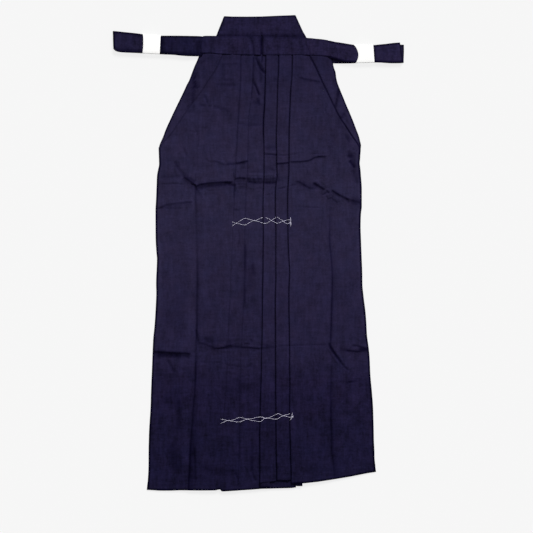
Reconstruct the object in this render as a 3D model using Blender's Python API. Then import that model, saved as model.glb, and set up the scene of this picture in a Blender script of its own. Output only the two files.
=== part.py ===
"""Hakama trousers (divided, umanori kind) laid flat on a table, front up.

The wearer's left leg is at +X, the waist at +Y and the table at Z = 0.
Each cloth panel is a wall that is folded into its pleats and lies on the
panel below. The ties are folded into flat bundles, held by paper bands.
All sizes below are in millimetres.
"""

import bisect

import bmesh
import bpy

MM = 0.001

# ------------------------------------------------------------ driving sizes
WALL = 1.0            # thickness of a cloth panel
GAP = 0.3             # clearance between neighbours and between folded layers
PITCH = WALL + GAP    # height of one layer of cloth on the next
FOLD_CHAMFER = 0.42   # rounding of a pleat's edge

WAIST = 446.3         # Y of the waist seam
CROTCH = 40.0         # Y of the point where the legs divide
CENTRE_BACK = 4.0     # X of the line where the two back panels meet
BACK_PLEAT = 40.0     # depth of the pleat at the centre back
UNDERLAY_WAIST = 17.0  # depth of a front pleat at the waist
UNDERLAY_HEM = 23.0   # and at the hem
SHOULDER_LEFT = 0.55  # where a front panel has come down onto the back panel
SHOULDER_RIGHT = 0.50

BOARD_THICK = 4.0     # back board
PAPER_WALL = 0.6      # paper band

# Panel sections, waist to hem. Each row is one level Y. The columns are the
# X of the edges and folds there: side edges of the right leg's back and
# front, the right leg's outer and inner pleats, the centre pleat, the left
# leg's two pleats, and the side edges of the left leg's front and back.
SECTION_COLUMNS = ("y", "r_back", "r_front", "r_outer", "r_inner", "centre",
                   "l_inner", "l_outer", "l_front", "l_back")
SECTIONS = (
    (446.3, -132.7, -81.6, -40.1, -10.6, 16.7, 45.0, 77.5, 117.7, 167.1),
    (392.9, -152.0, -112.5, -41.2, -12.8, 15.5, 43.9, 74.6, 142.4, 174.9),
    (336.2, -181.4, -152.3, -44.0, -18.8, 13.3, 42.1, 70.5, 169.7, 196.8),
    (279.4, -207.8, -190.6, -47.6, -22.9, 11.7, 41.0, 69.3, 204.3, 220.2),
    (238.6, -224.7, -224.2, -49.2, -23.7, 11.5, 40.3, 68.0, 230.4, 231.2),
    (202.3, -222.1, -222.1, -51.1, -24.5, 11.3, 39.6, 67.0, 227.6, 227.6),
    (159.1, -228.4, -228.4, -53.5, -25.9, 11.2, 39.0, 66.6, 230.5, 230.5),
    (106.9, -230.8, -230.8, -55.1, -27.8, 10.9, 39.4, 66.4, 232.6, 232.6),
    (38.8, -231.9, -231.9, -63.8, -31.1, 10.4, 39.6, 68.5, 229.8, 229.8),
    (-13.4, -226.7, -226.7, -69.4, -32.1, 9.8, 39.2, 70.4, 231.0, 231.0),
    (-86.0, -230.4, -230.4, -70.5, -32.8, 8.9, 38.7, 70.5, 235.1, 235.1),
    (-174.6, -234.2, -234.2, -73.5, -35.9, 7.8, 38.0, 69.8, 243.8, 243.8),
    (-294.9, -240.1, -240.1, -77.6, -41.9, 5.1, 38.9, 71.6, 253.8, 253.8),
    (-369.8, -243.1, -243.1, -79.6, -41.9, 4.4, 39.2, 72.3, 258.9, 258.9),
    (-444.7, -247.2, -247.2, -81.0, -43.0, 3.6, 39.5, 73.0, 260.3, 260.3),
    (-483.3, -249.4, -249.4, -81.7, -44.4, 3.2, 39.6, 73.3, 263.2, 263.2),
    (-534.0, -251.8, -251.8, -82.7, -46.3, 2.7, 39.8, 73.8, 263.9, 263.9),
)

# The waist seam's Y against X, and the hem's Y against X, layer by layer.
# The front's lower layers hang a little longer than the pleats on top.
WAIST_SEAM = ((-132.7, 453.6), (-76.0, 450.2), (0.0, 448.4), (117.0, 448.8),
              (162.0, 446.8), (168.0, 444.6))
BACK_SEAM = ((-132.7, 447.4), (-127.0, 453.6), (-112.0, 453.6), (-60.0, 450.6),
             (4.0, 449.4), (124.7, 449.4), (160.0, 447.4), (165.4, 446.2),
             (167.1, 433.8))
HEMS = {
    "back_right": ((-251.8, -533.2), (-82.7, -536.0), (4.0, -531.0)),
    "back_left": ((4.0, -524.5), (98.0, -520.2), (137.0, -515.6),
                  (263.9, -493.0)),
    "gusset_right": ((-70.0, -530.0), (4.0, -529.0)),
    "gusset_left": ((4.0, -531.0), (86.0, -529.6)),
    "front_right_top": ((-251.8, -534.6), (-155.0, -536.9), (-95.0, -535.9),
                        (-82.7, -534.8)),
    "front_right_mid": ((-106.0, -538.4), (-82.7, -539.35), (-46.3, -536.9)),
    "front_right_low": ((-69.0, -536.6), (-46.3, -536.2), (2.7, -532.4),
                        (24.0, -531.2)),
    "front_left_low": ((2.7, -525.6), (26.0, -524.2)),
    "front_left_1": ((2.7, -521.0), (39.8, -516.9), (63.0, -519.0)),
    "front_left_2": ((39.8, -513.9), (73.8, -514.2), (96.8, -526.2)),
    "front_left_top": ((73.8, -522.2), (98.2, -521.6), (137.4, -516.9),
                       (263.9, -494.2)),
}


def along(table, x):
    """Straight-line value of a two-column table at x, level past its ends."""
    xs = [row[0] for row in table]
    i = bisect.bisect_left(xs, x)
    if i == 0:
        return table[0][1]
    if i == len(table):
        return table[-1][1]
    (x0, v0), (x1, v1) = table[i - 1], table[i]
    return v0 + (v1 - v0) * (x - x0) / (x1 - x0)


def section_rows():
    """Each section as a dictionary by column name, with what depends on Y."""
    for row in SECTIONS:
        s = dict(zip(SECTION_COLUMNS, row))
        down = (WAIST - s["y"]) / (WAIST - SECTIONS[-1][0])
        s["down"] = down
        s["underlay"] = UNDERLAY_WAIST + (UNDERLAY_HEM - UNDERLAY_WAIST) * down
        # The front's lowest layer rests on the back board at the waist, and
        # on the gusset below the crotch.
        s["base"] = along(((-600.0, 5.7), (CROTCH, 5.7), (150.0, 4.8),
                           (500.0, 4.8)), s["y"])
        s["side"] = along(((-600.0, 1.8), (337.0, 1.8), (393.0, 3.0),
                           (447.0, 4.8)), s["y"])
        yield s


# ------------------------------------------------------------ mesh builders
def clear_scene():
    for ob in list(bpy.data.objects):
        bpy.data.objects.remove(ob, do_unlink=True)


def material(name, colour, roughness, metallic=0.0):
    mat = bpy.data.materials.new(name)
    mat.use_nodes = True
    bsdf = next(n for n in mat.node_tree.nodes if n.type == "BSDF_PRINCIPLED")
    bsdf.inputs["Base Color"].default_value = (*colour, 1.0)
    bsdf.inputs["Roughness"].default_value = roughness
    bsdf.inputs["Metallic"].default_value = metallic
    mat.diffuse_color = (*colour, 1.0)
    return mat


def add_object(name, bm, colour, roughness):
    bmesh.ops.recalc_face_normals(bm, faces=bm.faces)
    for v in bm.verts:
        v.co *= MM
    mesh = bpy.data.meshes.new(name)
    bm.to_mesh(mesh)
    bm.free()
    ob = bpy.data.objects.new(name, mesh)
    bpy.context.scene.collection.objects.link(ob)
    mesh.materials.append(material(name + "_cloth", colour, roughness))
    return ob


def wall_section(path):
    """Both faces of a wall along a folded path in the XZ plane.

    path is a list of (x, z, y, is_fold). Returns the upper-side points, the
    lower-side points and the slices that join them. The outside of a fold
    gets two points, so the pleat's edge is rounded.
    """
    half = WALL / 2
    side_a, side_b, slices = [], [], []

    def unit(p, q):
        dx, dz = q[0] - p[0], q[1] - p[1]
        size = (dx * dx + dz * dz) ** 0.5
        return dx / size, dz / size

    last = len(path) - 1
    for i, (x, z, y, is_fold) in enumerate(path):
        before = unit(path[i - 1], path[i]) if i else None
        after = unit(path[i], path[i + 1]) if i < last else None
        before, after = before or after, after or before
        n1, n2 = (-before[1], before[0]), (-after[1], after[0])
        grow = half / (1 + n1[0] * n2[0] + n1[1] * n2[1])
        mx, mz = (n1[0] + n2[0]) * grow, (n1[1] + n2[1]) * grow
        a, b = (x + mx, y, z + mz), (x - mx, y, z - mz)
        if not is_fold:
            side_a.append(a)
            side_b.append(b)
            slices.append((len(side_a) - 1, len(side_b) - 1))
            continue
        c = FOLD_CHAMFER
        turn = before[0] * after[1] - before[1] * after[0]
        outer = b if turn > 0 else a
        pair = [
            (outer[0] - c * before[0], y, outer[2] - c * before[1]),
            (outer[0] + c * after[0], y, outer[2] + c * after[1]),
        ]
        if turn > 0:
            side_a.append(a)
            side_b.extend(pair)
            slices.append((len(side_a) - 1, len(side_b) - 2))
            slices.append((len(side_a) - 1, len(side_b) - 1))
        else:
            side_b.append(b)
            side_a.extend(pair)
            slices.append((len(side_a) - 2, len(side_b) - 1))
            slices.append((len(side_a) - 1, len(side_b) - 1))
    return side_a, side_b, slices


def loft_wall(paths):
    """One closed wall through the folded paths of all its sections."""
    bm = bmesh.new()
    rows = []
    slices = None
    for path in paths:
        a, b, slices = wall_section(path)
        rows.append(([bm.verts.new(p) for p in a],
                     [bm.verts.new(p) for p in b]))
    for (a0, b0), (a1, b1) in zip(rows, rows[1:]):
        ring0, ring1 = a0 + b0[::-1], a1 + b1[::-1]
        for i in range(len(ring0)):
            j = (i + 1) % len(ring0)
            bm.faces.new((ring0[i], ring0[j], ring1[j], ring1[i]))
    for a, b in (rows[0], rows[-1]):
        for (i0, j0), (i1, j1) in zip(slices, slices[1:]):
            corner = [a[i0]]
            if i1 != i0:
                corner.append(a[i1])
            corner.append(b[j1])
            if j1 != j0:
                corner.append(b[j0])
            bm.faces.new(corner)
    return bm


def loft_rings(rings):
    """A closed solid through rings of equal length, with flat ends."""
    bm = bmesh.new()
    rows = [[bm.verts.new(p) for p in ring] for ring in rings]
    for r0, r1 in zip(rows, rows[1:]):
        for i in range(len(r0)):
            j = (i + 1) % len(r0)
            bm.faces.new((r0[i], r0[j], r1[j], r1[i]))
    bm.faces.new(rows[0])
    bm.faces.new(rows[-1])
    return bm


# --------------------------------------------------------------- the panels
def level(s, name, x):
    """Y of a point of a section: the waist seam, a plain level or the hem."""
    if s["down"] <= 0:
        seam = BACK_SEAM if name.startswith("back") else WAIST_SEAM
        return along(seam, x) - GAP
    if s["down"] >= 1:
        return along(HEMS[name], x)
    return s["y"]


def front_left_path(s):
    """Centre pleat and two knife pleats, their folds facing -X."""
    h, u, b = WALL / 2, s["underlay"], s["base"]
    x1, x2, x3 = s["centre"] + h, s["l_inner"] + h, s["l_outer"] + h
    p = PITCH
    edge = s["l_front"]
    start = x3 + u + 1
    shoulder = start + (edge - start) * SHOULDER_LEFT
    points = (
        ("front_left_low", x1 + u - 2, b + p, False),
        ("front_left_low", x1, b + p, True),
        ("front_left_1", x1, b + 2 * p, True),
        ("front_left_1", x1 + u + 0.5, b + 2 * p, False),
        ("front_left_1", x2 - 1.5, b, False),
        ("front_left_1", x2 + u, b, True),
        ("front_left_1", x2 + u, b + p, True),
        ("front_left_2", x2, b + p, True),
        ("front_left_2", x2, b + 2 * p, True),
        ("front_left_2", x2 + u + 1.5, b + 2 * p, False),
        ("front_left_2", x3 - 1.5, b, False),
        ("front_left_2", x3 + u, b, True),
        ("front_left_2", x3 + u, b + p, True),
        ("front_left_top", x3, b + p, True),
        ("front_left_top", x3, b + 2 * p, True),
        ("front_left_top", x3 + u + 2, b + 2 * p, False),
        ("front_left_top", shoulder, s["side"] + 0.6, False),
        ("front_left_top", edge, s["side"], False),
    )
    return [(x, z, level(s, name, x), fold) for name, x, z, fold in points]


def front_right_path(s):
    """Two knife pleats with folds facing +X; the centre edge lies lowest."""
    h, u, b = WALL / 2, s["underlay"], s["base"]
    x1, x4, x5 = s["centre"], s["r_inner"] - h, s["r_outer"] - h
    p = PITCH
    edge = s["r_front"]
    start = x5 - u - 1
    shoulder = start + (edge - start) * SHOULDER_RIGHT
    points = (
        ("front_right_low", x1 + u - 3, b, False),
        ("front_right_low", x4 - u, b, True),
        ("front_right_low", x4 - u, b + p, True),
        ("front_right_mid", x4, b + p, True),
        ("front_right_mid", x4, b + 2 * p, True),
        ("front_right_mid", x4 - u - 1.5, b + 2 * p, False),
        ("front_right_mid", x5 + 1.5, b, False),
        ("front_right_mid", x5 - u, b, True),
        ("front_right_mid", x5 - u, b + p, True),
        ("front_right_top", x5, b + p, True),
        ("front_right_top", x5, b + 2 * p, True),
        ("front_right_top", x5 - u - 2, b + 2 * p, False),
        ("front_right_top", shoulder, s["side"] + 0.6, False),
        ("front_right_top", edge, s["side"], False),
    )
    return [(x, z, level(s, name, x), fold) for name, x, z, fold in points]


def back_path(s, side):
    """Flat on the table, with one pleat whose fold lies at the centre back."""
    h, p = WALL / 2, PITCH
    left = side == "left"
    name = "back_left" if left else "back_right"
    edge = s["l_back"] if left else s["r_back"]
    out = 1 if left else -1
    centre = CENTRE_BACK + out * GAP / 2
    stops = [BACK_PLEAT + (abs(edge - centre) - BACK_PLEAT) * t
             for t in (0.22, 0.5, 0.72, 0.95, 0.986)]
    if left:
        points = [(centre, 2 * p, False), (centre + BACK_PLEAT, 2 * p, True),
                  (centre + BACK_PLEAT, p, True), (centre + h, p, True),
                  (centre + h, 0, True)]
        points += [(centre + d, 0, False) for d in stops]
        points.append((edge, 0, False))
    else:
        points = [(edge, 0, False)]
        points += [(centre - d, 0, False) for d in reversed(stops)]
        points += [(centre - h, 0, True), (centre - h, p, True),
                   (centre - BACK_PLEAT, p, True),
                   (centre - BACK_PLEAT, 2 * p, True), (centre, 2 * p, False)]
    return [(x, z + h, level(s, name, x), fold) for x, z, fold in points]


def gusset(side):
    """A flat strip between front and back, from the crotch to the hem."""
    left = side == "left"
    out = 1 if left else -1
    name = "gusset_" + side
    z0 = 3 * PITCH
    rings = []
    for t in (0.0, 0.1, 0.3, 0.65, 1.0):
        y = CROTCH - 14 + (-500.0 - CROTCH) * t
        inner = CENTRE_BACK + out * GAP / 2
        wide = 14 + 67 * t
        outer = inner + out * wide
        y0 = along(HEMS[name], inner) if t == 1 else y
        y1 = along(HEMS[name], outer) if t == 1 else y
        rings.append(((inner, y0, z0), (outer, y1, z0),
                      (outer, y1, z0 + WALL), (inner, y0, z0 + WALL)))
    return loft_rings(rings)


# ------------------------------------------------- board, waistband and ties
# A folded tie, inner end to outer end: X of its upper and lower corners, Y
# of its upper and lower edges, and Z of its underside and top.
TIE_COLUMNS = ("x_upper", "x_lower", "y_upper", "y_lower", "z_low", "z_high")
BACK_TIE_RIGHT = (
    (-97.6, -112.9, 488.6, 455.2, 0.0, 2.2),
    (-126.0, -131.0, 488.9, 455.0, 0.0, 2.6),
    (-142.0, -142.0, 488.8, 451.6, 0.0, 3.4),
    (-184.4, -184.4, 489.6, 452.8, 0.0, 3.4),
    (-214.0, -214.0, 490.0, 454.0, 0.0, 3.4),
    (-219.0, -219.0, 489.8, 455.0, 0.9, 3.9),
    (-266.0, -266.0, 493.4, 458.0, 0.9, 3.9),
    (-271.0, -271.0, 494.2, 457.6, 0.0, 3.4),
    (-317.0, -317.0, 498.6, 459.6, 0.0, 3.4),
    (-326.2, -325.0, 499.4, 463.4, 0.0, 3.4),
    (-328.1, -328.1, 496.8, 468.0, 0.4, 3.0),
)
FRONT_TIE_RIGHT = (
    (-121.0, -126.5, 488.9, 450.2, 4.6, 6.7),
    (-134.0, -134.0, 489.3, 449.4, 3.7, 7.2),
    (-150.0, -150.0, 489.7, 450.0, 3.7, 8.6),
    (-184.4, -184.4, 490.3, 452.0, 3.7, 9.3),
    (-214.0, -214.0, 491.0, 453.6, 3.7, 9.3),
    (-219.0, -219.0, 490.6, 454.8, 4.2, 8.9),
    (-266.0, -266.0, 494.0, 457.8, 4.2, 8.9),
    (-271.0, -271.0, 495.4, 457.0, 3.7, 9.3),
    (-303.8, -303.8, 499.6, 458.4, 3.7, 9.3),
    (-326.3, -320.6, 500.7, 459.4, 3.7, 9.3),
    (-328.6, -328.6, 498.6, 465.0, 4.2, 8.8),
)
BACK_TIE_LEFT = (
    (108.8, 125.2, 485.6, 451.4, 0.0, 2.2),
    (150.0, 155.0, 481.0, 449.4, 0.0, 2.6),
    (160.0, 166.0, 478.4, 448.0, 0.0, 3.2),
    (169.2, 169.8, 475.4, 434.4, 0.0, 3.4),
    (193.1, 193.1, 470.6, 433.4, 0.0, 3.4),
    (214.0, 214.0, 468.0, 433.9, 0.0, 3.4),
    (221.0, 221.0, 468.2, 435.8, 0.9, 3.9),
    (265.0, 265.0, 467.9, 437.4, 0.9, 3.9),
    (270.0, 270.0, 469.6, 436.2, 0.0, 3.4),
    (304.0, 304.0, 472.0, 433.5, 0.0, 3.4),
    (323.0, 323.0, 472.8, 434.3, 0.0, 3.4),
    (328.6, 328.6, 471.5, 434.6, 0.0, 3.2),
)
FRONT_TIE_LEFT = (
    (144.0, 149.0, 481.4, 449.4, 4.6, 6.8),
    (160.0, 164.0, 479.8, 446.6, 3.7, 7.2),
    (174.0, 176.0, 477.4, 441.4, 3.7, 8.6),
    (193.1, 193.1, 474.7, 437.4, 3.7, 9.3),
    (214.0, 214.0, 471.4, 435.6, 3.7, 9.3),
    (221.0, 221.0, 469.4, 435.6, 4.2, 8.9),
    (265.0, 265.0, 468.7, 437.2, 4.2, 8.9),
    (270.0, 270.0, 470.6, 435.4, 3.7, 9.3),
    (304.5, 304.5, 473.6, 434.6, 3.7, 9.3),
    (319.7, 319.7, 474.7, 434.9, 3.7, 9.3),
    (322.4, 322.4, 472.4, 437.0, 4.2, 8.8),
)
# The waistband over the front's upper edge, from its right end to its left.
WAISTBAND = (
    (-124.7, -132.7, 491.2, 454.4, 7.6, 9.4),
    (-118.0, -124.0, 491.7, 454.2, 7.1, 9.9),
    (-108.0, -110.0, 491.9, 453.8, 4.9, 9.6),
    (-95.0, -95.0, 492.1, 452.4, 4.3, 9.1),
    (-60.0, -60.0, 492.3, 450.1, 4.3, 9.0),
    (-19.0, -19.0, 492.4, 449.0, 4.3, 9.4),
    (40.0, 40.0, 490.3, 448.6, 4.3, 9.4),
    (85.0, 85.0, 487.9, 449.2, 4.3, 9.4),
    (117.0, 117.0, 486.6, 449.2, 4.3, 9.0),
    (133.0, 137.0, 485.1, 448.4, 4.9, 9.4),
    (142.0, 147.0, 484.1, 448.0, 7.1, 9.9),
    (156.7, 166.6, 482.4, 445.6, 7.6, 9.4),
)


def strap(rows):
    """A flat bundle with rounded long edges, through its sections."""
    rings = []
    for row in rows:
        r = dict(zip(TIE_COLUMNS, row))
        c = min(0.8, 0.3 * (r["z_high"] - r["z_low"]))
        slope = (r["x_lower"] - r["x_upper"]) / (r["y_lower"] - r["y_upper"])

        def at(y, z):
            return (r["x_upper"] + slope * (y - r["y_upper"]), y, z)

        up, low = r["y_upper"], r["y_lower"]
        z0, z1 = r["z_low"], r["z_high"]
        rings.append((at(up - c, z0), at(up, z0 + c), at(up, z1 - c),
                      at(up - c, z1), at(low + c, z1), at(low, z1 - c),
                      at(low, z0 + c), at(low + c, z0)))
    return loft_rings(rings)


def back_board():
    """Trapezoid board, its upper edge a little hollow, slightly rounded."""
    outline = ((-111.6, 453.9), (-60.0, 450.9), (4.0, 449.7), (124.2, 449.7),
               (107.0, 487.8), (82.7, 539.35),
               (54.8, 538.2), (15.5, 535.7), (-23.7, 534.8), (-63.2, 535.2),
               (-75.9, 537.5), (-95.0, 491.9))
    cx = sum(x for x, _ in outline) / len(outline)
    cy = sum(y for _, y in outline) / len(outline)

    def ring(z, inset):
        out = []
        for x, y in outline:
            out.append((x - inset * (1 if x > cx else -1),
                        y - inset * (1 if y > cy else -1), z))
        return out

    c = 0.9
    return loft_rings((ring(0, c), ring(c, 0), ring(BOARD_THICK - c, 0),
                       ring(BOARD_THICK, c)))


# A paper band's sections: X, then the upper and lower edge in Y.
PAPER_RIGHT = ((-264.3, 494.9, 456.9), (-242.0, 493.0, 455.4),
               (-220.5, 491.5, 453.9))
PAPER_LEFT = ((222.6, 470.3, 434.7), (242.0, 470.0, 435.2),
              (263.4, 469.6, 436.2))


def paper_band(rows):
    """A flat tube of paper around the tie bundle."""
    top = 9.8
    w, c = PAPER_WALL, 0.7
    bm = bmesh.new()
    loops = []
    for x, up, low in rows:
        outer = ((up - c, 0), (up, c), (up, top - c), (up - c, top),
                 (low + c, top), (low, top - c), (low, c), (low + c, 0))
        up, low, d = up - w, low + w, c - w * 0.4
        inner = ((up - d, w), (up, w + d), (up, top - w - d),
                 (up - d, top - w), (low + d, top - w), (low, top - w - d),
                 (low, w + d), (low + d, w))
        loops.append(([bm.verts.new((x, y, z)) for y, z in outer],
                      [bm.verts.new((x, y, z)) for y, z in inner]))
    n = 8
    for (o0, i0), (o1, i1) in zip(loops, loops[1:]):
        for k in range(n):
            m = (k + 1) % n
            bm.faces.new((o0[k], o0[m], o1[m], o1[k]))
            bm.faces.new((i0[k], i0[m], i1[m], i1[k]))
    for o, i in (loops[0], loops[-1]):
        for k in range(n):
            m = (k + 1) % n
            bm.faces.new((o[k], o[m], i[m], i[k]))
    return bm


# --------------------------------------------------------------- everything
def build():
    clear_scene()
    navy = (0.016, 0.013, 0.036)
    rows = list(section_rows())
    add_object("back_panel_left_leg",
               loft_wall([back_path(s, "left") for s in rows]), navy, 0.85)
    add_object("back_panel_right_leg",
               loft_wall([back_path(s, "right") for s in rows]), navy, 0.85)
    add_object("gusset_left_leg", gusset("left"), navy, 0.85)
    add_object("gusset_right_leg", gusset("right"), navy, 0.85)
    add_object("front_panel_left_leg",
               loft_wall([front_left_path(s) for s in rows]), navy, 0.85)
    add_object("front_panel_right_leg",
               loft_wall([front_right_path(s) for s in rows]), navy, 0.85)
    add_object("back_board", back_board(), navy, 0.8)
    add_object("front_waistband", strap(WAISTBAND), navy, 0.85)
    add_object("back_tie_right", strap(BACK_TIE_RIGHT), navy, 0.85)
    add_object("back_tie_left", strap(BACK_TIE_LEFT), navy, 0.85)
    add_object("front_tie_right", strap(FRONT_TIE_RIGHT), navy, 0.85)
    add_object("front_tie_left", strap(FRONT_TIE_LEFT), navy, 0.85)
    white = (0.9, 0.89, 0.87)
    add_object("paper_band_right", paper_band(PAPER_RIGHT), white, 0.6)
    add_object("paper_band_left", paper_band(PAPER_LEFT), white, 0.6)


build()
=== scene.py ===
"""Looks of the hakama trousers laid flat: cloth, creases, ties, basting.

Everything is made in millimetres in the frame's own axes and scaled to
metres when a mesh is written. mx() and my() turn a place in the 533 x 533
picture into the frame, so creases sit where they are seen.
"""

import math

import bpy
import numpy as np
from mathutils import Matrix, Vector


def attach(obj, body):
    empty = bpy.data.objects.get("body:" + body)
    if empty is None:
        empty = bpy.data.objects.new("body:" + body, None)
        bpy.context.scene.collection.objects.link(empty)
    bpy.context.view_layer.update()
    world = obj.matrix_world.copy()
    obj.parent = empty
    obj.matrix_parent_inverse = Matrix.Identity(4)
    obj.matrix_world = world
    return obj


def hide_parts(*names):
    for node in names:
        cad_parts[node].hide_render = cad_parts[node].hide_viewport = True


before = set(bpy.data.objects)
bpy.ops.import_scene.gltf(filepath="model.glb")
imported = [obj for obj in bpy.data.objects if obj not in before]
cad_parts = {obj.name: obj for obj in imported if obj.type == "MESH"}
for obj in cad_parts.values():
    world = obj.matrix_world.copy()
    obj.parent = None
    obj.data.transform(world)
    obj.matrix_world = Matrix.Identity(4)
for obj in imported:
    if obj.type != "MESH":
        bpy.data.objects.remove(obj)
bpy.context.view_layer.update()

MM = 0.001
PX = 2.27              # millimetres to one pixel of the 533-pixel picture
PX_X, PX_Y = 258.45, 253.1


def mx(px):
    return (np.asarray(px, float) - PX_X) * PX


def my(py):
    return (PX_Y - np.asarray(py, float)) * PX


# ------------------------------------------------------------------ sizes
CLOTH = 0.70           # thickness of the cloth as seen
PITCH_L = 1.3          # layer on layer in the left leg's sharp pleats
PITCH_R = 0.85         # and in the right leg's flatter ones
BACK_PITCH = 1.3
CENTRE_BACK = 4.0
BACK_PLEAT = 40.0
UNDERLAY_WAIST, UNDERLAY_HEM = 17.0, 23.0
WAIST, HEM = 449.0, -536.0

# ------------------------------------------------------------ cloth outline
# Edges and fold lines, each as (level, place) in the picture.
RIGHT_SIDE = ((148, 158.8), (156, 159.0), (164, 159.2), (170, 158.1),
              (176, 157.1), (186, 156.7), (199, 156.2), (211, 155.6),
              (236, 155.7), (252, 156.5), (259, 157.1), (268, 156.8),
              (284, 156.2), (292, 156.4), (308, 155.8), (324, 154.8),
              (341, 153.2), (366, 152.2), (393, 151.1), (406, 150.7),
              (434, 149.1), (450, 148.7), (466, 148.6), (480, 147.9),
              (490, 146.9))
R_BACK = ((52, 200.4), (57, 198.7), (60, 197.6), (66, 194.8), (73, 192.1),
          (80, 189.4), (85, 186.8), (90, 184.5), (97, 181.2), (105, 177.3),
          (113, 173.4), (120, 170.2), (126, 167.4), (131, 165.3),
          (136, 163.5), (141, 161.3), (145, 159.6)) + RIGHT_SIDE
R_FRONT = ((52, 225.3), (57, 222.7), (70, 215.7), (77.4, 210.6),
           (90.2, 202.2), (111.4, 186.4), (126.2, 176.4), (135.4, 170.0),
           (144.0, 161.6)) + RIGHT_SIDE
R_OUTER = ((56, 240.8), (80, 240.5), (101, 239.4), (130, 237.5), (160, 236),
           (190, 234.3), (205, 234.0), (220, 233.2), (235, 232.4),
           (250, 231.9), (265, 231.2), (280, 230.5), (295, 230.1),
           (310, 229.2), (335, 228.2), (361, 227.2), (375, 226.6),
           (390, 225.9), (405, 224.6), (420, 223.2), (435, 221.9),
           (450, 221.0), (465, 220.4), (480, 219.9), (490, 219.7))
R_INNER = ((56, 253.8), (80, 252.8), (95, 251.8), (117, 248.9), (160, 247.9),
           (178, 247.4), (190, 246.2), (205, 245.8), (225, 245.1),
           (241, 244.9), (252, 245.2), (265, 245.0), (280, 244.6),
           (295, 244.5), (312, 243.4), (380, 240.2), (449, 239.5),
           (490, 238))
CENTRE = ((56, 265.9), (80, 265.4), (92, 265.1), (103, 264.8), (114, 264.1),
          (124, 263.6), (132, 263.6), (144, 264.0), (160, 264.1),
          (175, 264.1), (186, 263.6), (196, 263.2), (212, 263.0),
          (232, 263.4), (260, 263.1), (275, 263.0), (290, 262.6),
          (320, 262.4), (335, 262.2), (355, 261.6), (383, 261.1),
          (400, 260.5), (420, 260.1), (436, 259.8), (452, 259.9),
          (470, 259.9), (490, 259.7))
L_INNER = ((56, 279.0), (64, 278.9), (74, 278.5), (84, 277.9), (96, 277.7),
           (104, 277.5), (116, 277.1), (124, 277.0), (134, 276.5),
           (142, 276.5), (152, 276.8), (162, 276.9), (170, 277.1),
           (176, 277.2), (184, 276.2), (194, 275.5), (212, 275.6),
           (232, 276.0), (260, 275.9), (275, 276.0), (290, 275.7),
           (305, 275.5), (335, 275.7), (355, 275.7), (370, 275.9),
           (385, 275.8), (400, 276.0), (435, 276.2), (450, 276.4),
           (465, 276.5), (477, 276.9), (490, 277.0))
L_OUTER = ((56, 292.7), (64, 292.4), (73, 292.2), (82, 291.6), (92, 290.8),
           (102, 290.4), (112, 290.0), (122, 289.7), (132, 289.3),
           (142, 289.2), (152, 289.2), (168, 289.1), (176, 288.9),
           (185, 288.3), (194, 287.9), (206, 287.7), (220, 288.0),
           (234, 288.1), (247, 288.5), (260, 289.1), (273, 289.8),
           (290, 289.1), (305, 289.0), (320, 289.3), (335, 289.5),
           (355, 289.8), (370, 289.8), (385, 290.1), (400, 289.8),
           (420, 289.9), (436, 290.2), (450, 290.7), (465, 290.9),
           (477, 291.3), (490, 291.4))
LEFT_SIDE = ((154, 360.3), (159, 360.0), (163, 359.6), (168, 360.2),
             (175, 360.8), (190, 361.7), (206, 361.7), (215, 360.8),
             (226, 360.5), (242, 361.0), (258, 361.6), (274, 362.2),
             (284, 362.3), (294, 363.2), (304, 364.4), (310, 365.2),
             (322, 366.2), (335, 366.9), (348, 368.6), (356, 369.4),
             (375, 370.3), (395, 372.1), (408, 373.0), (425, 373.5),
             (441, 373.85), (449, 374.2), (457, 374.4), (464, 374.4),
             (472, 374.6), (480, 375.05), (485, 375.3), (490, 375.95))
L_FRONT = ((52, 306.8), (57, 309.9), (66.7, 315.4), (75, 319.4), (81, 322.1),
           (90, 326.6), (97.1, 330.0), (107.4, 334.9), (116.5, 339.6),
           (125.7, 345.7), (135.9, 352.2), (145, 358.6), (149, 360.6)) \
    + LEFT_SIDE
L_BACK = ((54, 332.4), (60, 333.0), (66, 333.8), (72, 335.4), (78, 336.2),
          (82, 337.1), (86, 338.5), (90, 340.1), (96, 342.6), (102, 345.0),
          (107, 347.1), (111, 348.9), (117, 351.4), (123, 353.8),
          (130, 356.4), (137, 359.0), (142, 360.2), (146, 361.1),
          (150, 361.0)) + LEFT_SIDE
# Lines where the front comes down off the layered middle: the press lines.
R_PRESS = ((184, 195.5), (207, 195.7), (220, 196.2), (240, 197.0),
           (260, 197.3), (280, 197.4), (300, 196.9), (320, 196.9),
           (341, 196.3), (362, 195.8), (375, 195.5), (390, 194.8),
           (405, 193.5), (420, 192.5), (435, 191.3), (450, 190.3),
           (465, 189.8), (480, 188.8), (490, 188.4))
L_PRESS = ((184, 330.0), (207, 329.8), (220, 329.6), (238, 329.3),
           (250, 330.2), (262, 331.4), (280, 332.2), (299, 331.8),
           (320, 331.2), (345, 330.4), (372, 331.2), (395, 330.4),
           (410, 330.8), (420, 330.7), (435, 331.5), (450, 331.6),
           (462, 333.2), (472, 334.0), (490, 334.2))

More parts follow.
